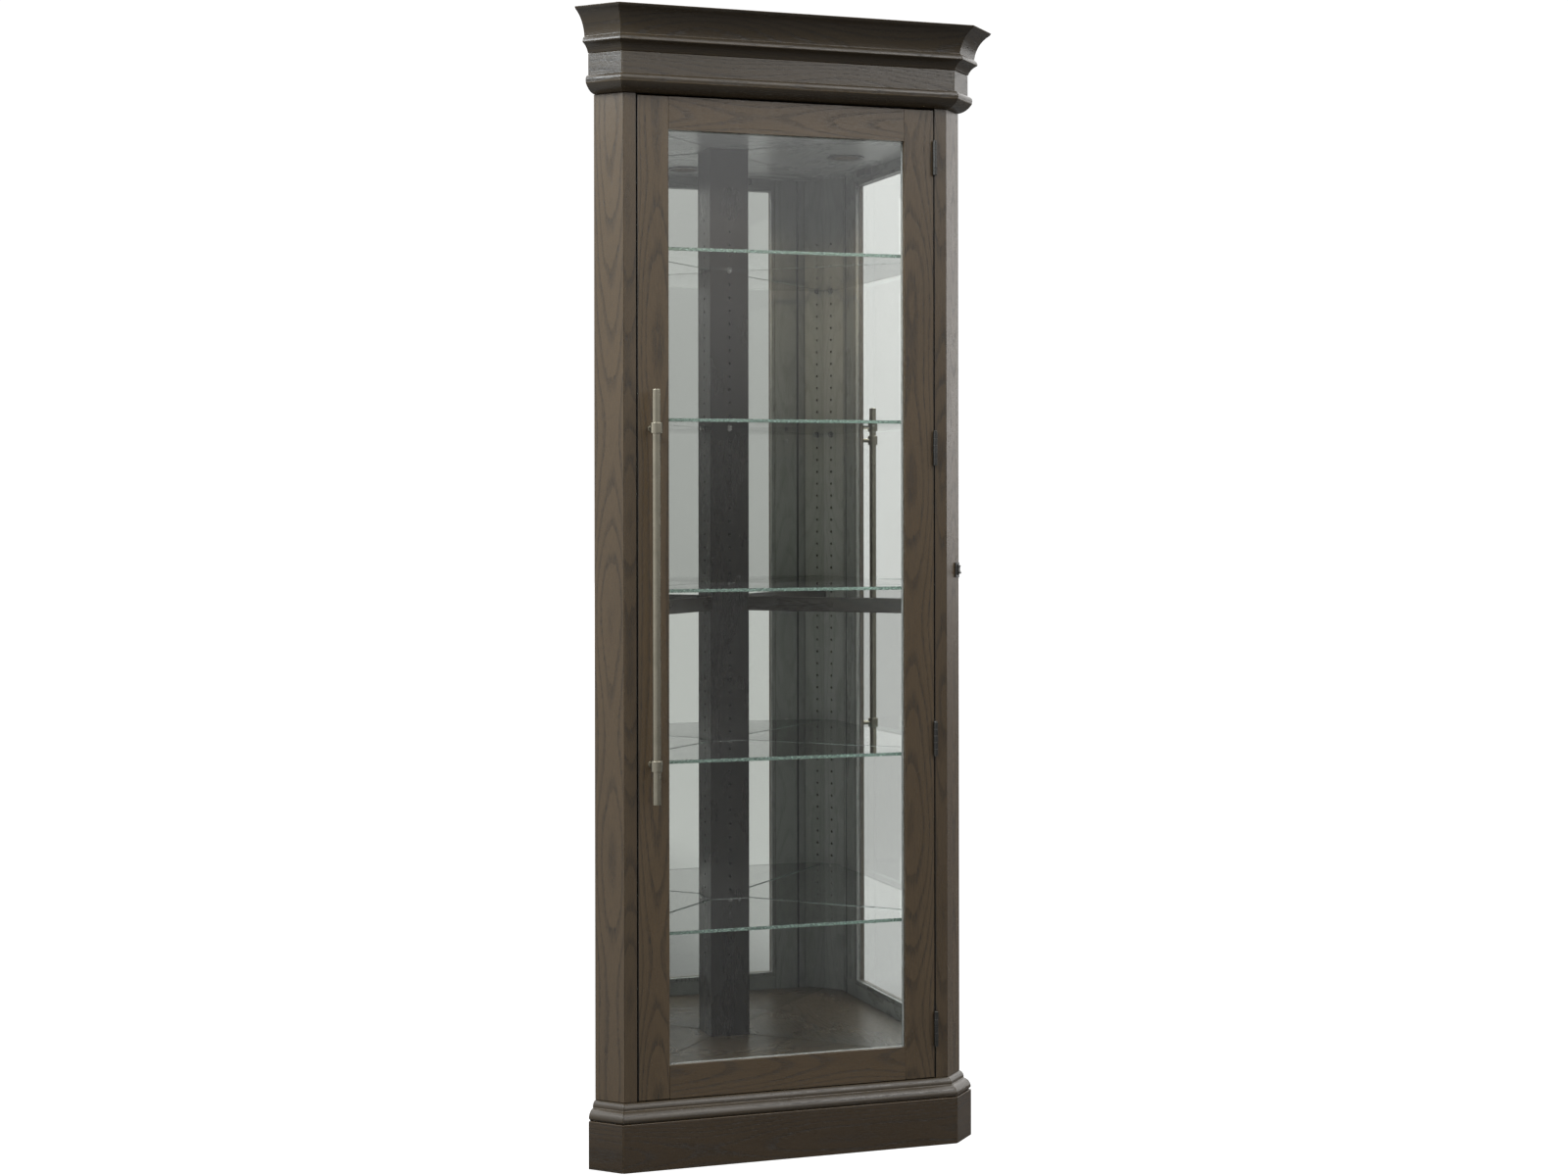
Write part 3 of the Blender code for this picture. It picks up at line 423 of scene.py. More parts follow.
STAIN_DARK, STAIN_LIGHT = 0.38, 0.34  # how far the grain takes a stain down and up
BARE_AND_HIGHLIT_EDGE = 2.6  # a rubbed edge against its stain; it also paints the highlight along eased arrises
PORE_ROUGH, HAZE_ROUGH = 0.22, 0.12  # what pores and haze add to the lacquer's roughness
LINE_DARK, LINE_LIGHT, LINE_ROUGH = 0.72, 1.28, 0.16  # brushed lines against the plating
SMUDGE_DARK, SMUDGE_ROUGH = 0.8, 0.14
BRUSH_FINENESS = 2600.0
METALS = {  # roughness, how far rubbed edges show, and how bright they are
    "Nail steel": (0.45, 0.0, 1.0),
    "Pin plating": (0.25, 0.4, 1.3),
    "Pewter bar": (0.30, 0.8, 1.9),
    "Pewter collar": (0.30, 0.8, 1.8),
    "Screw plating": (0.35, 0.3, 1.2),
    "Hinge steel": (0.42, 0.9, 3.2),
    "Hinge screw": (0.38, 0.5, 1.5),
    "Light shell": (0.30, 0.4, 1.2),
    "Strike zinc": (0.32, 0.5, 1.3),
}
RELIEF = {  # depth and strength of the fine relief
    "wood": (0.0003, 0.55), "hardboard": (0.0002, 0.4), "metal": (0.00006, 0.45),
    "plastic": (0.00008, 0.5), "ground glass": (0.00005, 0.4), "frosted glass": (0.0001, 0.3),
}
MID = 0.3, 0.7  # where most of a noise lies
PITH_ALONG, PITH_ACROSS = 4, 0.022  # how far a board's own pith may lie to either side
PITH_DEEP = 0.05, 0.10
BOARD_SHADES = 0.93, 1.07  # no two boards take the stain alike
IOR = 1.50
LET_THROUGH = (0.93, 0.95, 0.94)  # the share of a lamp's light that passes glass


def new_material(name):
    """A material's tree with its Principled shader and the piece's own coordinates."""
    made = bpy.data.materials.new(name)
    made.use_nodes = True
    tree = made.node_tree
    shader = tree.nodes["Principled BSDF"]
    where = put(tree, "ShaderNodeTexCoord").outputs["Object"]
    return made, tree, shader, where


def dress(tree, shader, **values):
    """Sets inputs of a shader; an underscore in a name stands for a space."""
    for key, value in values.items():
        plug(tree, shader.inputs[key.replace("_", " ")], value)


def bump(tree, shader, height, stuff):
    distance, strength = RELIEF[stuff]
    inputs = {"Height": height, "Distance": distance, "Strength": strength}
    dress(tree, shader, Normal=put(tree, "ShaderNodeBump", inputs).outputs["Normal"])


def edge_mask(tree, where, wear):
    """Rubbed edges, which on wood also stand for painted highlights, from the mark that easing left
    on a piece's faces.
    """
    edge = put(tree, "ShaderNodeAttribute", attribute_name="edge").outputs["Fac"]
    return place(tree, rubbed_edges, Vector=where, Edge=edge, Wear=wear)["Mask"]


def board_place(tree, where, centre, along, depth, seed):
    """Object coordinates turned and moved so that X runs along a board's grain."""
    chance = Random(seed)
    across = depth.cross(along)
    turn = Matrix((along, across, depth))
    ranges = (-PITH_ALONG, PITH_ALONG), (-PITH_ACROSS, PITH_ACROSS), PITH_DEEP
    pith = Vector([chance.uniform(*ends) for ends in ranges])
    inputs = {"Vector": where, "Location": pith - turn @ centre, "Rotation": turn.to_euler("XYZ")}
    return put(tree, "ShaderNodeMapping", inputs).outputs["Vector"]


def stained_oak(name, stain, centre, along, depth, roughness, wear, figure=1.0):
    """Open-grained wood under a stain and a satin lacquer; figure is how strongly it shows."""
    wood = bpy.context.scene.curio_wood
    made, tree, shader, where = new_material(name)
    board = board_place(tree, where, centre, along, depth, name)
    stain = Vector(stain) * Random(name + " shade").uniform(*BOARD_SHADES)
    grain = place(tree, oak_grain, Vector=board, Ring=wood.ring, Figure=wood.figure)
    tint = blend_colour(tree, grain["Tone"], stain * (1 - STAIN_DARK * figure),
                        stain * (1 + STAIN_LIGHT * figure))
    pores = times(tree, grain["Pores"], figure)
    tint = blend_colour(tree, pores, tint, Vector(wood.pore))
    # Lighter eased edges: wear, with painted highlights along the arrises.
    tint = blend_colour(tree, edge_mask(tree, where, wear), tint, stain * BARE_AND_HIGHLIT_EDGE)
    haze = noise(tree, board, (9, 22, 22), detail=3.0)
    rough = scaled(tree, grain["Pores"], PORE_ROUGH, roughness - HAZE_ROUGH / 2)
    rough = scaled(tree, haze, HAZE_ROUGH, rough)
    dress(tree, shader, Base_Color=tint, Roughness=rough)
    bump(tree, shader, grain["Height"], "wood")
    return made


def hardboard(name):
    """Pressed brown fibre with a smooth, faintly mottled face."""
    base = Vector(bpy.context.scene.curio_wood.hardboard)
    made, tree, shader, where = new_material(name)
    fibre = noise(tree, where, 420.0, detail=4.0, roughness=0.7)
    mottle = noise(tree, where, 9.0, detail=3.0)
    both = scaled(tree, fibre, 0.55, times(tree, mottle, 0.45))
    dress(tree, shader, Base_Color=blend_colour(tree, both, base * 0.55, base * 1.40),
          Roughness=fade(tree, mottle, *MID, 0.62, 0.82))
    bump(tree, shader, fibre, "hardboard")
    return made


def lined_metal(name, base, along):
    """Plated metal brushed along one direction."""
    roughness, wear, lift = METALS[name]
    made, tree, shader, where = new_material(name)
    side = along.orthogonal().normalized()
    turn = Matrix((along, side, along.cross(side)))
    inputs = {"Vector": where, "Rotation": turn.to_euler("XYZ")}
    lengthwise = put(tree, "ShaderNodeMapping", inputs).outputs["Vector"]
    brush = place(tree, brushing, Vector=lengthwise, Fineness=BRUSH_FINENESS)
    base = Vector(base)
    tint = blend_colour(tree, brush["Lines"], base * LINE_DARK, base * LINE_LIGHT)
    tint = blend_colour(tree, fade(tree, brush["Smudge"], 0.35, 0.75), tint, base * SMUDGE_DARK)
    tint = blend_colour(tree, edge_mask(tree, where, wear), tint, base * lift)
    rough = scaled(tree, brush["Lines"], LINE_ROUGH, roughness - LINE_ROUGH / 2)
    rough = scaled(tree, brush["Smudge"], SMUDGE_ROUGH,
                   calc(tree, "SUBTRACT", rough, SMUDGE_ROUGH / 2))
    dress(tree, shader, Base_Color=tint, Roughness=rough, Metallic=1.0)
    bump(tree, shader, brush["Lines"], "metal")
    return made


def moulded_plastic(name):
    """Black moulding with a fine spark-eroded texture."""
    made, tree, shader, where = new_material(name)
    base = Vector(bpy.context.scene.curio_metal.plastic)
    grit = noise(tree, where, 2300.0, roughness=0.6)
    touch = noise(tree, where, 95.0, detail=3.0)
    tint = blend_colour(tree, grit, base * 0.75, base * 1.3)
    tint = blend_colour(tree, edge_mask(tree, where, 0.5), tint, base * 2.4)
    dress(tree, shader, Base_Color=tint, Roughness=fade(tree, touch, *MID, 0.34, 0.52))
    bump(tree, shader, grit, "plastic")
    return made


def let_lamps_through(made):
    """Glass that casts no dark shadow: rays from lamps pass it as if it weren't there."""
    tree = made.node_tree
    shader = tree.nodes["Principled BSDF"]
    clear = put(tree, "ShaderNodeBsdfTransparent", {"Color": LET_THROUGH})
    path = put(tree, "ShaderNodeLightPath").outputs["Is Shadow Ray"]
    inputs = {0: path, 1: shader.outputs["BSDF"], 2: clear.outputs["BSDF"]}
    surface = put(tree, "ShaderNodeMixShader", inputs).outputs["Shader"]
    plug(tree, tree.nodes["Material Output"].inputs["Surface"], surface)


def clear_glass(name):
    """Float glass with a cleaning film that barely shows."""
    glass = bpy.context.scene.curio_glass
    made, tree, shader, where = new_material(name)
    marks = place(tree, cloth_marks, Vector=where, Amount=glass.film)
    dress(tree, shader, Base_Color=glass.sheet, Roughness=marks["Roughness"], IOR=IOR,
          Transmission_Weight=1.0)
    let_lamps_through(made)
    return made


def matt_glass(name, tint, wave, shades, roughness, relief, **more):
    """Glass with a fine even texture, in two shades of its tint."""
    made, tree, shader, where = new_material(name)
    texture = noise(tree, where, wave)
    dark, light = (Vector(tint) * shade for shade in shades)
    dress(tree, shader, Base_Color=blend_colour(tree, texture, dark, light),
          Roughness=fade(tree, texture, *MID, *roughness), **more)
    bump(tree, shader, texture, relief)
    return made


def ground_edge(name):
    """The seamed edge of a shelf: a deeper green, with a fine grind along it."""
    edge = bpy.context.scene.curio_glass.edge
    return matt_glass(name, edge, (160, 160, 1400), (0.8, 1.15), (0.12, 0.30), "ground glass",
                      IOR=IOR, Transmission_Weight=0.75)


def silvered_glass(name):
    """A mirror with a faint film on its face."""
    glass = bpy.context.scene.curio_glass
    made, tree, shader, where = new_material(name)
    silver = Vector(glass.silver)
    tarnish = noise(tree, where, 3.0, detail=3.0)
    marks = place(tree, cloth_marks, Vector=where, Amount=glass.film, Clean=0.002)
    dress(tree, shader, Base_Color=blend_colour(tree, tarnish, silver * 0.97, silver * 1.03),
          Roughness=marks["Roughness"], Metallic=1.0)
    return made


def frosted_lens(name):
    """Ribbed frosted glass with the lamp glowing behind it."""
    glass = bpy.context.scene.curio_glass
    return matt_glass(name, glass.lens, 900.0, (0.9, 1.0), (0.45, 0.60), "frosted glass",
                      Transmission_Weight=0.6, Emission_Color=glass.glow,
                      Emission_Strength=glass.ember)


# Meshes and pieces


def settled(bm, name):
    """The finished bmesh as a mesh."""
    mesh = bpy.data.meshes.new(name)
    bm.to_mesh(mesh)
    bm.free()
    return mesh


def eased_mesh(node, radius):
    """A copy of a node's mesh, merged, with whole flats, and edges eased and marked."""
    bm = bmesh.new()
    bm.from_mesh(frame["nodes"][node].data)
    bmesh.ops.remove_doubles(bm, verts=bm.verts, dist=MERGE)
    bmesh.ops.dissolve_limit(bm, angle_limit=FLAT, verts=bm.verts, edges=bm.edges)
    mark = bm.faces.layers.float.new("edge")
    steep = [edge for edge in bm.edges if edge.is_manifold and edge.calc_face_angle() > SHARP]
    made = bmesh.ops.bevel(
        bm, geom=steep, offset=radius, offset_type="OFFSET", segments=2, profile=0.5,
        affect="EDGES", clamp_overlap=True,
    )
    for face in made["faces"]:
        face[mark] = 1.0
    bmesh.ops.recalc_face_normals(bm, faces=bm.faces)
    return settled(bm, node)


def turned_mesh(node, profile, segments):
    """A mesh turned about a node's upright axis from (radius, height) points, foot at the node's."""
    bm = bmesh.new()
    rows = []
    for radius, height in profile:
        if radius == 0:
            rows.append([bm.verts.new((0, 0, height))] * segments)
            continue
        angles = [2 * pi * step / segments for step in range(segments)]
        rows.append([bm.verts.new((radius * cos(a), radius * sin(a), height)) for a in angles])
    for low, high in zip(rows, rows[1:]):
        for i in range(segments):
            j = (i + 1) % segments
            bm.faces.new(list(dict.fromkeys((low[i], low[j], high[j], high[i]))))
    bm.transform(Matrix.Translation((*middle(node).xy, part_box(node)[0].z)))
    bmesh.ops.recalc_face_normals(bm, faces=bm.faces)
    return settled(bm, node)


def stand(name, data):
    """A new object in the scene."""
    made = bpy.data.objects.new(name, data)
    bpy.context.scene.collection.objects.link(made)
    return made


def hang(name, mesh, materials, body, nodes=()):
    """Sets a finished piece on its body, in place of its nodes."""
    piece = stand(name, mesh)
    mesh.materials.clear()
    for made in materials:
        mesh.materials.append(made)
    mesh.shade_smooth()
    mesh.set_sharp_from_angle(angle=SHADE_SHARP)
    smooth = piece.modifiers.new("Even shading", "WEIGHTED_NORMAL")
    smooth.keep_sharp = True
    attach(piece, body)
    if nodes:
        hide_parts(*nodes)
    return piece


def body_of(node):
    return frame["nodes"][node]["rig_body"]


def finished(node, suffix, materials, radius):
    """The eased copy of one node as its finished piece."""
    mesh = eased_mesh(node, radius)
    return hang(f"{node}_{suffix}", mesh, materials, body_of(node), [node])


def oak_piece(node, stain, along, depth, wear=None):
    wood = bpy.context.scene.curio_wood
    made = stained_oak(f"{node} oak", stain, middle(node), along, depth, wood.lacquer,
                       wood.wear if wear is None else wear)
    return finished(node, "oak", [made], wood.arris)


def stain_side(board, word, facing, squareness, stain, along, dullness, figure):
    """Gives the faces of a board that look one way a colour of their own, used for painted haze
    inside and painted shade in gaps.
    """
    lacquer = bpy.context.scene.curio_wood.lacquer
    centre = sum((Vector(corner) for corner in board.bound_box), Vector()) / 8
    made = stained_oak(f"{board.name} {word}", stain, centre, along, facing,
                       lacquer + dullness, 0.0, figure)
    board.data.materials.append(made)
    for face in board.data.polygons:
        if face.normal.dot(facing) > squareness:
            face.material_index = len(board.data.materials) - 1


def grey_side(board, inwards, along):
    """The side that faces into the case gets a pale grey: painted haze that stands in for the light
    haze of the mirrors and glass in front of it.
    """
    stain = bpy.context.scene.curio_wood.inner_grey
    stain_side(board, "inside", inwards, FACES_ONE_WAY, stain, along, dullness=0.0, figure=0.25)


def glaze_gap(board, towards, along):
    """Painted shade: darkens the side of a board along a gap, and its eased corners there, where the
    gap lies in shade.
    """
    stain = Vector(bpy.context.scene.curio_wood.pore) * GAP_SHADOW
    stain_side(board, "gap", towards, 0.3, stain, along, dullness=0.2, figure=0.5)


def reach(node, direction):
    """How far a node reaches back and forth along a direction."""
    ways = [vertex.co.dot(direction) for vertex in frame["nodes"][node].data.vertices]
    return min(ways), max(ways)


def far_middle(node, direction):
    """Middle of the edge of a node that lies furthest in a direction."""
    furthest = reach(node, direction)[1]
    points = [vertex.co for vertex in frame["nodes"][node].data.vertices
              if vertex.co.dot(direction) > furthest - MERGE]
    low = Vector(min(point[i] for point in points) for i in range(3))
    high = Vector(max(point[i] for point in points) for i in range(3))
    return (low + high) / 2


# Geometry node trees for what repeats


def row_tree(name, **sizes):
    """A tree with the inputs of a row: where it starts, how many, how far apart."""
    inputs = {
        "Geometry": ("NodeSocketGeometry", None),
        "Start": (VECTOR, None),
        "Step": (VECTOR, None),
        "Count": ("NodeSocketInt", 1),
        "Facing": ("NodeSocketRotation", None),
        **{key: (FLOAT, value) for key, value in sizes.items()},
        "Finish": ("NodeSocketMaterial", None),
    }
    return new_group(name, "GeometryNodeTree", inputs, {"Geometry": "NodeSocketGeometry"})


def row_points(tree, given):
    inputs = {"Count": given["Count"], "Start Location": given["Start"], "Offset": given["Step"]}
    return put(tree, "GeometryNodeMeshLine", inputs, mode="OFFSET").outputs["Mesh"]


def drum(tree, radius, depth, top, sides, foot=None):
    """A cylinder or, with a foot radius, a cone along Z, whose upper end is at top."""
    if foot is None:
        inputs = {"Vertices": sides, "Radius": radius, "Depth": depth}
        solid = put(tree, "GeometryNodeMeshCylinder", inputs).outputs["Mesh"]
        lift = calc(tree, "SUBTRACT", top, calc(tree, "DIVIDE", depth, 2.0))
    else:
        inputs = {"Vertices": sides, "Radius Top": radius, "Radius Bottom": foot, "Depth": depth}
        solid = put(tree, "GeometryNodeMeshCone", inputs).outputs["Mesh"]
        lift = calc(tree, "SUBTRACT", top, depth)
    offset = put(tree, "ShaderNodeCombineXYZ", {"Z": lift}).outputs["Vector"]
    inputs = {"Geometry": solid, "Translation": offset}
    return put(tree, "GeometryNodeTransform", inputs).outputs["Geometry"]


def join(tree, *solids):
    node = put(tree, "GeometryNodeJoinGeometry")
    for solid in reversed(solids):
        tree.links.new(solid, node.inputs[0])
    return node.outputs[0]


def copies(tree, given, solid):
    """A real copy of solid on each point of the row."""
    inputs = {"Points": row_points(tree, given), "Instance": solid, "Rotation": given["Facing"]}
    placed = put(tree, "GeometryNodeInstanceOnPoints", inputs).outputs["Instances"]
    return put(tree, "GeometryNodeRealizeInstances", {0: placed}).outputs[0]


def cut_away(tree, whole, *cutters):
    node = put(tree, "GeometryNodeMeshBoolean", operation="DIFFERENCE", solver="EXACT")
    plug(tree, node.inputs["Mesh 1"], whole)
    for cutter in cutters:
        plug(tree, node.inputs["Mesh 2"], cutter)
    return node.outputs["Mesh"]


def give_finish(tree, given, out, solid):
    """Sets the finish and closes the tree."""
    inputs = {"Geometry": solid, "Material": given["Finish"]}
    return give_out(tree, out, put(tree, "GeometryNodeSetMaterial", inputs).outputs[0])


def pin_row(name):
    """Shelf pins: a shank, a collar against the wood and a rounded tip, out along local Z."""
    tree, given, out = row_tree(name, Radius=0.0025, Reach=0.0085)
    radius, reach = given["Radius"], given["Reach"]
    root, collar_thick, tip_thick, sides = 0.0030, 0.0012, 0.0006, 20
    shank = drum(tree, radius, calc(tree, "ADD", reach, root), reach, sides)
    wide = times(tree, radius, 1.5)
    collar = drum(tree, wide, collar_thick, collar_thick, sides)
    tip = drum(tree, times(tree, radius, 0.7), tip_thick,
               calc(tree, "ADD", reach, tip_thick), sides, foot=radius)
    return give_finish(tree, given, out, copies(tree, given, join(tree, shank, collar, tip)))


def hole_row(name):
    """Bores a row of round or countersunk holes along local Z into the piece itself."""
    tree, given, out = row_tree(name, Radius=0.0025, Foot=0.0025, Depth=0.009)
    bit = drum(tree, given["Radius"], given["Depth"], OVERCUT, 16, foot=given["Foot"])
    bored = cut_away(tree, given["Geometry"], copies(tree, given, bit))
    real = put(tree, "GeometryNodeRealizeInstances", {0: bored}).outputs[0]
    return give_finish(tree, given, out, real)


def screw_row(name):
    """Countersunk screw heads with a cross recess, heads up along local Z."""
    tree, given, out = row_tree(name, Radius=0.0026)
    radius = given["Radius"]
    thick, foot, long, thin = (times(tree, radius, part)
                               for part in (0.45, 0.5, 1.25, 0.26))
    head = drum(tree, radius, thick, -OVERCUT, 24, foot=foot)
    bars = []
    for wide, narrow in ((long, thin), (thin, long)):
        size = put(tree, "ShaderNodeCombineXYZ", {"X": wide, "Y": narrow, "Z": radius}).outputs[0]
        bars.append(put(tree, "GeometryNodeMeshCube", {"Size": size}).outputs["Mesh"])
    crossed = cut_away(tree, head, *bars)
    return give_finish(tree, given, out, copies(tree, given, crossed))


def nail_row(name):
    """Domed nail heads, out along local Z."""
    tree, given, out = row_tree(name, Radius=0.0024)
    radius = given["Radius"]
    rim_top, dome_thick, root, sides = 0.0004, 0.0003, 0.0005, 14
    rim = drum(tree, radius, rim_top + root, rim_top, sides)
    dome = drum(tree, times(tree, radius, 0.6), dome_thick, rim_top + dome_thick,
                sides, foot=radius)
    return give_finish(tree, given, out, copies(tree, given, join(tree, rim, dome)))


def run_tree(holder, tree, values):
    """Runs a tree on an object, with inputs set by their identifiers; gives a plain mesh."""
    modifier = holder.modifiers.new(tree.name, "NODES")
    modifier.node_group = tree
    sockets = {
        item.name: item.identifier for item in tree.interface.items_tree
        if item.item_type == "SOCKET" and item.in_out == "INPUT"
    }
    for key, value in values.items():
        modifier[sockets[key]] = value
    holder.update_tag()
    depsgraph = bpy.context.evaluated_depsgraph_get()
    mesh = bpy.data.meshes.new_from_object(holder.evaluated_get(depsgraph))
    holder.modifiers.remove(modifier)
    return mesh


def run_row(holder, maker, start, step, count, outwards, finish, **sizes):
    """Runs a row's tree on an object; outwards is the way that its local Z points."""
    facing = outwards.to_track_quat("Z", "Y").to_euler()
    return run_tree(holder, shared(maker), {
        "Start": tuple(start), "Step": tuple(step), "Count": count,
        "Facing": tuple(facing), "Finish": finish, **sizes,
    })


def row_mesh(*row, **sizes):
    """A row on its own, made on a passing object."""
    holder = stand("row_holder", bpy.data.meshes.new("row_holder"))
    mesh = run_row(holder, *row, **sizes)
    bpy.data.objects.remove(holder, do_unlink=True)
    return mesh


def bore(piece, *row, **sizes):
    """Bores a row of holes into a finished piece, which keeps its materials."""
    old = piece.data
    piece.data = run_row(piece, hole_row, *row, **sizes)
    piece.data.materials.clear()
    for finish in old.materials:
        piece.data.materials.append(finish)
    bpy.data.meshes.remove(old)


def joined(name, meshes):
    """Several meshes as one."""
    bm = bmesh.new()
    for mesh in meshes:
        bm.from_mesh(mesh)
    bmesh.ops.remove_doubles(bm, verts=bm.verts, dist=MERGE / 10)
    return settled(bm, name)


# Operators, one for each group of pieces


class CURIO_OT_base(bpy.types.Operator):
    """Plinth boards and the moulded cap that lies on them"""

    bl_idname = "curio.base"
    bl_label = "Plinth and Base Moulding"

    def execute(self, context):
        wood = context.scene.curio_wood
        for stem, stain in (("plinth", wood.plinth_stain), ("base_moulding", wood.moulding_stain)):
            mitred_run(stem, stain)
        return {"FINISHED"}


class CURIO_OT_crown(bpy.types.Operator):
    """Frieze with its bead, crown moulding and top panel"""

    bl_idname = "curio.crown"
    bl_label = "Frieze and Crown"

    def execute(self, context):
        wood = context.scene.curio_wood
        mitred_run("frieze", wood.moulding_stain)
        mitred_run("crown", wood.moulding_stain)
        oak_piece("top_panel", wood.inner_stain, RIGHT, -UP)
        return {"FINISHED"}


def mitred_run(stem, stain):
    """Front, left and right lengths, each with its grain along it."""
    # Lighter edges here are mostly painted highlight lines along the noses and beads.
    wear = bpy.context.scene.curio_wood.moulding_wear
    oak_piece(stem + "_front", stain, RIGHT, REAR, wear)
    for word, (along, outwards) in CANTS.items():
        oak_piece(f"{stem}_{word}", stain, along, -outwards, wear)


class CURIO_OT_case(bpy.types.Operator):
    """Face stiles, canted sides, deck and ceiling panel"""

    bl_idname = "curio.case"
    bl_label = "Case Boards"

    def execute(self, context):
        wood = context.scene.curio_wood
        pins = context.scene.curio_fittings
        for word, (_, outwards) in CANTS.items():
            stile = oak_piece("face_stile_" + word, Vector(wood.stain) * STILE_SHADE, UP, REAR)
            grey_side(stile, REAR, UP)
            glaze_gap(stile, RIGHT if word == "left" else -RIGHT, UP)
            side = oak_piece("side_panel_" + word, wood.stain, UP, -outwards)
            bore_pin_holes(side, outwards, pins)
            grey_side(side, -outwards, UP)
        oak_piece("bottom_deck", Vector(wood.stain) * DECK_SHADE, RIGHT, -UP)
        ceiling = oak_piece("ceiling_panel", wood.inner_stain, RIGHT, UP)
        grey_side(ceiling, -UP, RIGHT)
        return {"FINISHED"}


class CURIO_OT_back(bpy.types.Operator):
    """Corner post, middle rails, mirrors and hardboard back panels"""

    bl_idname = "curio.back"
    bl_label = "Back Walls"

    def execute(self, context):
        wood = context.scene.curio_wood
        glass = context.scene.curio_glass
        pins = context.scene.curio_fittings
        post = oak_piece("back_post", Vector(wood.inner_stain) * POST_SHADE, UP, REAR)
        bore_pin_holes(post, REAR, pins)
        mirror = silvered_glass("Mirror")
        board = hardboard("Hardboard")
        for word, (along, outwards) in WALLS.items():
            oak_piece("mid_rail_" + word, wood.inner_stain, along, outwards)
            finished("back_panel_" + word, "board", [board], wood.arris / 3)
            for half in ("upper", "lower"):
                finished(f"mirror_{half}_{word}", "glass", [mirror], glass.seam)
        return {"FINISHED"}


class CURIO_OT_nails(bpy.types.Operator):
    """Nails along both edges of each back panel"""

    bl_idname = "curio.nails"
    bl_label = "Back Panel Nails"

    def execute(self, context):
        fittings = context.scene.curio_fittings
        finish = lined_metal("Nail steel", context.scene.curio_metal.zinc * 0.6, UP)
        margin = fittings.nail_pitch / 5
        for word, (along, outwards) in WALLS.items():
            node = "back_panel_" + word
            low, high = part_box(node)
            run = high.z - low.z - 2 * margin
            count = int(run / fittings.nail_pitch) + 1
            step = UP * run / (count - 1)
            face = outwards * reach(node, outwards)[1] + UP * (low.z + margin)
            meshes = [
                row_mesh(nail_row, face + along * (edge + inwards), step, count, outwards, finish,
                         Radius=fittings.nail_radius)
                for edge, inwards in zip(reach(node, along), (NAIL_INSET, -NAIL_INSET))
            ]
            name = "back_nails_" + word
            hang(name, joined(name, meshes), [finish], body_of(node))
        return {"FINISHED"}


def pin_line(outwards, pins):
    """Where the row of pins meets the wood, at the lowest shelf, and the rise per shelf."""
    wood = {tuple(REAR): "back_post", tuple(RIGHT_FRONT): "side_panel_right",
            tuple(LEFT_FRONT): "side_panel_left"}[tuple(outwards)]
    edge = far_middle(SHELVES[0], outwards)
    face = reach(wood, outwards)[0]
    start = edge + outwards * (face - edge.dot(outwards))
    start.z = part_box(SHELVES[0])[0].z - pins.pin_radius
    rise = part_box(SHELVES[1])[0].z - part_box(SHELVES[0])[0].z
    return start, UP * rise


def bore_pin_holes(board, outwards, pins):
    """Bores the row of shelf-pin holes into a finished board."""
    start, rise = pin_line(outwards, pins)
    step = rise / pins.holes_between
    count = pins.holes_between * (len(SHELVES) - 1) + 2 * pins.spare_holes + 1
    radius = pins.pin_radius + OVERCUT
    bore(board, start - step * pins.spare_holes, step, count, -outwards,
         board.data.materials[0], Radius=radius, Foot=radius, Depth=pins.hole_depth)


class CURIO_OT_shelves(bpy.types.Operator):
    """Glass shelves with seamed green edges"""

    bl_idname = "curio.shelves"
    bl_label = "Glass Shelves"

    def execute(self, context):
        finishes = [clear_glass("Shelf glass"), ground_edge("Shelf edge")]
        for node in SHELVES:
            shelf = finished(node, "sheet", finishes, context.scene.curio_glass.seam)
            for face in shelf.data.polygons:
                if abs(face.normal.z) < FACES_ONE_WAY:
                    face.material_index = 1
        return {"FINISHED"}


class CURIO_OT_shelf_pins(bpy.types.Operator):
    """Plated pins under the shelves, on the post and on both sides"""

    bl_idname = "curio.shelf_pins"
    bl_label = "Shelf Pins"

    def execute(self, context):
        pins = context.scene.curio_fittings
        finish = lined_metal("Pin plating", context.scene.curio_metal.zinc, REAR)
        for word, outwards in (("post", REAR), ("left", LEFT_FRONT), ("right", RIGHT_FRONT)):
            start, rise = pin_line(outwards, pins)
            mesh = row_mesh(pin_row, start, rise, len(SHELVES), -outwards, finish,
                            Radius=pins.pin_radius, Reach=pins.pin_reach)
            hang("shelf_pins_" + word, mesh, [finish], "cabinet")
        return {"FINISHED"}


class CURIO_OT_door(bpy.types.Operator):
    """Door stiles and rails, the pane and the bead that holds it"""

    bl_idname = "curio.door"
    bl_label = "Door"

    def execute(self, context):
        wood = context.scene.curio_wood
        for word, towards, along in (("stile_left", -RIGHT, UP), ("stile_right", RIGHT, UP),
                                     ("rail_bottom", -UP, RIGHT), ("rail_top", UP, RIGHT)):
            board = oak_piece("door_" + word, wood.stain, along, REAR)
            grey_side(board, REAR, along)
            glaze_gap(board, towards, along)
        # The bead takes the same painted haze grey.
        oak_piece("glazing_bead", wood.inner_grey, UP, -REAR)
        finished("door_glass", "pane", [clear_glass("Door glass")], context.scene.curio_glass.seam)
        return {"FINISHED"}


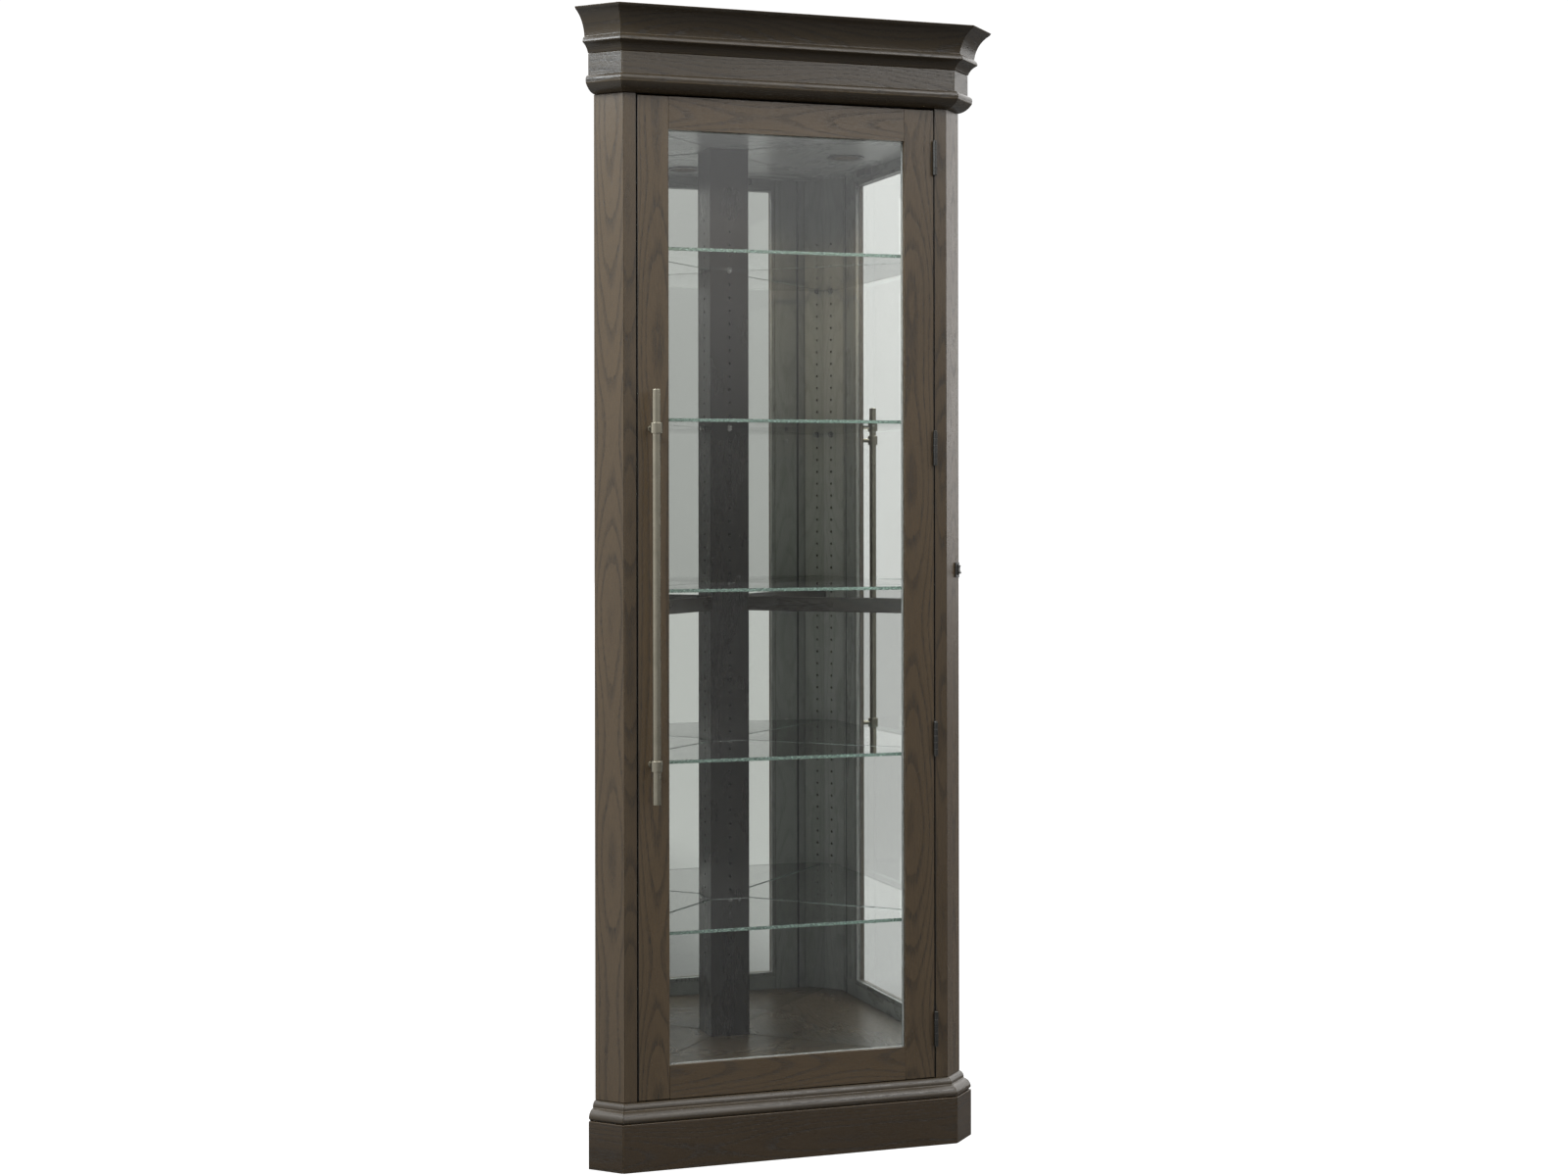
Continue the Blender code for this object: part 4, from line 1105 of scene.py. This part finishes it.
class CURIO_OT_handle(bpy.types.Operator):
    """Long round bar held by two collared posts, and its screws behind the stile"""

    bl_idname = "curio.handle"
    bl_label = "Handle"

    def execute(self, context):
        metal = context.scene.curio_metal
        fittings = context.scene.curio_fittings
        pewter = lined_metal("Pewter bar", metal.pewter, UP)
        low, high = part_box("handle_bar")
        profile = rounded_rod((high.x - low.x) / 2, high.z - low.z, EASES["bar end"])
        mesh = turned_mesh("handle_bar", profile, 48)
        mark_ends(mesh, low.z, high.z, EASES["bar end"] + OVERCUT)
        hang("handle_bar_turned", mesh, [pewter], "door", ["handle_bar"])
        collar = lined_metal("Pewter collar", metal.pewter, UP)
        for word in ("lower", "upper"):
            finished("handle_post_" + word, "collar", [collar], EASES["collar"])
        zinc = lined_metal("Screw plating", metal.zinc, RIGHT)
        lower, upper = middle("handle_post_lower"), middle("handle_post_upper")
        start = Vector((lower.x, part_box("door_stile_left")[1].y, lower.z))
        mesh = row_mesh(nail_row, start, UP * (upper.z - lower.z), 2, REAR, zinc,
                        Radius=fittings.screw_radius * HANDLE_SCREW)
        hang("handle_screws", mesh, [zinc], "door")
        return {"FINISHED"}


def rounded_rod(radius, height, ease, steps=4):
    """Half outline of a rod with rounded ends, from its foot up."""
    turn = [pi / 2 * step / steps for step in range(steps + 1)]
    foot = [(radius - ease + ease * sin(a), ease - ease * cos(a)) for a in turn]
    head = [(r, height - z) for r, z in reversed(foot)]
    return [(0, 0), *foot, *head, (0, height)]


def mark_ends(mesh, low, high, ease):
    """Marks the rounded ends of an upright turned piece as edges that get rubbed."""
    edge = mesh.attributes.new("edge", "FLOAT", "FACE")
    for face, value in zip(mesh.polygons, edge.data):
        value.value = float(not low + ease < face.center.z < high - ease)


class CURIO_OT_hinges(bpy.types.Operator):
    """Butt hinges with countersunk screws in both leaves"""

    bl_idname = "curio.hinges"
    bl_label = "Hinges"

    def execute(self, context):
        metal = context.scene.curio_metal
        fittings = context.scene.curio_fittings
        steel = lined_metal("Hinge steel", metal.hinge, UP)
        screw = lined_metal("Hinge screw", metal.hinge * 1.3, RIGHT)
        radius = fittings.screw_radius
        rise = UP * fittings.screw_pitch
        for leaf, outwards in (("frame_leaf", -RIGHT), ("door_leaf", RIGHT)):
            meshes = []
            for hinge in HINGES:
                node = f"{hinge}_{leaf}"
                face_x = sum(reach(hinge + "_pin", RIGHT)) / 2 - outwards.x * LEAF_SIDE
                screws_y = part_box(node)[1].y - SCREW_INSET
                start = Vector((face_x, screws_y, middle(node).z)) - rise
                piece = finished(node, "steel", [steel], EASES["hinge leaf"])
                bore(piece, start, rise, 3, outwards, steel, Radius=radius + OVERCUT,
                     Foot=radius / 2, Depth=radius / 2 + OVERCUT)
                meshes.append(row_mesh(screw_row, start, rise, 3, outwards, screw, Radius=radius))
            name = f"hinge_screws_{leaf}"
            hang(name, joined(name, meshes), [screw], body_of(f"{HINGES[0]}_{leaf}"))
        for hinge in HINGES:
            finished(hinge + "_pin", "steel", [steel], EASES["hinge pin"])
        return {"FINISHED"}


class CURIO_OT_light(bpy.types.Operator):
    """Ceiling light: a satin housing round a ribbed, frosted lens"""

    bl_idname = "curio.light"
    bl_label = "Ceiling Light"

    def execute(self, context):
        glass = context.scene.curio_glass
        shell = lined_metal("Light shell", context.scene.curio_metal.shell, RIGHT)
        finished("light_housing", "shell", [shell], EASES["light"])
        low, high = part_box("light_lens")
        radius = (high.x - low.x) / 2
        mesh = turned_mesh("light_lens", ribbed_disc(radius, high.z - low.z, ribs=9), 64)
        lens = frosted_lens("Light lens")
        hang("light_lens_ribbed", mesh, [lens], body_of("light_lens"), ["light_lens"])
        below = middle("light_lens") - UP * LAMP_DROP
        lamp = add_light("Ceiling lamp", "SPOT", glass.lamp, glass.glow, below,
                         middle("bottom_deck"))
        lamp.data.spot_size = radians(150)
        lamp.data.spot_blend = 1.0
        lamp.data.shadow_soft_size = radius / 2
        lamp.visible_glossy = False
        return {"FINISHED"}


def ribbed_disc(radius, thick, ribs):
    """Half outline of a flat disc whose lower face has rounded concentric ribs."""
    pitch = radius / ribs
    depth = thick * 0.35
    points = [(0, 0)]
    for rib in range(ribs):
        for part in (1, 2, 3, 4):
            angle = pi * part / 4
            points.append((pitch * (rib + part / 4), depth * (1 - sin(angle)) * (rib > 0)))
    return [*points, (radius, thick), (0, thick)]


class CURIO_OT_switch(bpy.types.Operator):
    """Rocker switch on the right canted side"""

    bl_idname = "curio.switch"
    bl_label = "Light Switch"

    def execute(self, context):
        plastic = moulded_plastic("Switch plastic")
        finished("switch_housing", "moulding", [plastic], EASES["switch"])
        finished("switch_rocker", "moulding", [plastic], EASES["rocker"])
        return {"FINISHED"}


class CURIO_OT_catch(bpy.types.Operator):
    """Magnetic catch under the ceiling and its strike plate on the door"""

    bl_idname = "curio.catch"
    bl_label = "Catch"

    def execute(self, context):
        zinc = lined_metal("Strike zinc", context.scene.curio_metal.zinc, RIGHT)
        finished("magnetic_catch", "moulding", [moulded_plastic("Catch plastic")], EASES["catch"])
        finished("strike_plate", "zinc", [zinc], EASES["strike plate"])
        return {"FINISHED"}


# Studio


LAMP_DROP = 0.01  # the lamp from the middle of its lens
KEY_AT, KEY_SIZE, KEY_TINT = (-1.9, -1.0, 2.85), (1.4, 0.8), (0.88, 0.95, 1.0)
SIDE_AT, SIDE_SIZE, SIDE_TINT = (1.6, -2.2, 3.0), (1.0, 1.0), (0.98, 0.99, 1.0)
FLOOR_HALF = 30
# Brightness of parts of the studio in reflections, as shares of the shine
RIGHT_LOW, RIGHT_HIGH = 0.12, 2.5
FAR_LEFT_LOW, FAR_LEFT_HIGH = 1.45, 1.65
NEAR_LEFT, NEAR_RIGHT, BEHIND = 0.78, 0.08, 2.7
OVERHEAD = 1.6  # what the ceiling adds to them
SOFT_LOW, SOFT_HIGH = 0.24, 1.5  # the soft light from below and above, as shares of the ambient


def add_light(name, kind, power, tint, at, aim, size=None):
    data = bpy.data.lights.new(name, kind)
    data.energy = power
    data.color = tint
    if size:
        data.shape = "RECTANGLE"
        data.size, data.size_y = size
    light = stand(name, data)
    light.location = at
    light.rotation_euler = (Vector(aim) - Vector(at)).to_track_quat("-Z", "Y").to_euler()
    light.visible_transmission = False
    return light


def add_camera(stage):
    data = bpy.data.cameras.new("Camera")
    data.lens = stage.lens
    data.sensor_width = 36
    data.shift_x, data.shift_y = stage.shift
    camera = stand("Camera", data)
    camera.location = stage.camera_place
    turn = Matrix.Rotation(-stage.camera_turn, 4, "Z") @ Matrix.Rotation(pi / 2, 4, "X")
    camera.rotation_euler = (turn @ Matrix.Rotation(stage.camera_roll, 4, "Z")).to_euler()
    bpy.context.scene.camera = camera


def by_ray(tree, camera, diffuse, other):
    """One strength for what the camera sees, one for light on things, one for reflections."""
    path = put(tree, "ShaderNodeLightPath").outputs
    unseen = mix(tree, path["Is Diffuse Ray"], other, diffuse)
    return mix(tree, path["Is Camera Ray"], unseen, camera)


def studio_floor(stage):
    """A wide, smooth painted floor, whose reflections are lit on the left."""
    mesh = bpy.data.meshes.new("floor")
    corners = [(x * FLOOR_HALF, y * FLOOR_HALF, 0) for x, y in ((-1, -1), (1, -1), (1, 1), (-1, 1))]
    mesh.from_pydata(corners, [], [(0, 1, 2, 3)])
    floor = stand("floor", mesh)
    made, tree, shader, where = new_material("Floor paint")
    paint = Vector(stage.floor)
    mottle = noise(tree, where, 1.5, detail=3.0)
    across = put(tree, "ShaderNodeSeparateXYZ", {0: where}).outputs["X"]
    lit = fade(tree, across, -1.1, -0.2, stage.shine * NEAR_LEFT, stage.shine * NEAR_RIGHT)
    dress(tree, shader, Base_Color=blend_colour(tree, mottle, paint * 0.99, paint * 1.01),
          Roughness=0.9, Specular_IOR_Level=0.1, Emission_Color=(1, 1, 1),
          Emission_Strength=by_ray(tree, stage.backdrop, 0.0, lit))
    mesh.materials.append(made)


def studio_world(stage):
    """White behind the cabinet; in front a lit left half, and a right half lit from above."""
    world = bpy.data.worlds.new("Studio")
    world.use_nodes = True
    tree = world.node_tree
    way = put(tree, "ShaderNodeTexCoord").outputs["Generated"]
    axes = put(tree, "ShaderNodeSeparateXYZ", {0: way}).outputs
    shine, ambient = stage.shine, stage.ambient
    right = fade(tree, axes["Z"], -0.05, 0.25, shine * RIGHT_LOW, shine * RIGHT_HIGH)
    far_left = fade(tree, axes["Z"], -0.20, 0.25, shine * FAR_LEFT_LOW, shine * FAR_LEFT_HIGH)
    outwards = fade(tree, times(tree, axes["X"], -1.0), 0.40, 0.90)
    left = mix(tree, outwards, shine * NEAR_LEFT, far_left)
    front = mix(tree, fade(tree, axes["X"], -0.10, 0.25), left, right)
    mirrored = mix(tree, fade(tree, axes["Y"], -0.25, 0.20), front, shine * BEHIND)
    overhead = fade(tree, axes["Z"], 0.30, 0.65, 1.0, OVERHEAD)
    mirrored = times(tree, mirrored, overhead)
    soft = fade(tree, axes["Z"], -0.15, 0.80, ambient * SOFT_LOW, ambient * SOFT_HIGH)
    dress(tree, tree.nodes["Background"], Color=(1, 1, 1),
          Strength=by_ray(tree, stage.backdrop, soft, mirrored))
    bpy.context.scene.world = world


class CURIO_OT_stage(bpy.types.Operator):
    """Camera, white floor, studio surroundings and soft lights"""

    bl_idname = "curio.stage"
    bl_label = "Studio"

    def execute(self, context):
        stage = context.scene.curio_stage
        add_camera(stage)
        studio_floor(stage)
        studio_world(stage)
        aim = (CAD_BOX[0] + CAD_BOX[1]) / 2
        add_light("Key light", "AREA", stage.key, KEY_TINT, KEY_AT, aim, KEY_SIZE)
        add_light("Side light", "AREA", stage.side, SIDE_TINT, SIDE_AT, aim, SIDE_SIZE)
        context.scene.view_settings.view_transform = "Standard"
        return {"FINISHED"}


# Panel, registration and the run


STEPS = (
    CURIO_OT_stage, CURIO_OT_base, CURIO_OT_case, CURIO_OT_back, CURIO_OT_nails, CURIO_OT_crown,
    CURIO_OT_shelves, CURIO_OT_shelf_pins, CURIO_OT_door, CURIO_OT_handle, CURIO_OT_hinges,
    CURIO_OT_light, CURIO_OT_switch, CURIO_OT_catch,
)


class CURIO_PT_panel(bpy.types.Panel):
    """Lists the steps of the cabinet and their settings"""

    bl_idname = "CURIO_PT_panel"
    bl_label = "Curio Cabinet"
    bl_space_type = "VIEW_3D"
    bl_region_type = "UI"
    bl_category = "Curio"

    def draw(self, context):
        for step in STEPS:
            self.layout.operator(step.bl_idname)
        for key, group in SETTINGS.items():
            box = self.layout.box()
            for name in group.__annotations__:
                box.prop(getattr(context.scene, key), name)


def register():
    for group in SETTINGS.values():
        bpy.utils.register_class(group)
    for step in (*STEPS, CURIO_PT_panel):
        bpy.utils.register_class(step)
    for key, group in SETTINGS.items():
        setattr(bpy.types.Scene, key, PointerProperty(type=group))


def unregister():
    for key in SETTINGS:
        delattr(bpy.types.Scene, key)
    for made in (*reversed(STEPS), CURIO_PT_panel, *SETTINGS.values()):
        bpy.utils.unregister_class(made)


def main():
    register()
    for step in STEPS:
        family, name = step.bl_idname.split(".")
        getattr(getattr(bpy.ops, family), name)()


if __name__ == "__main__":
    main()
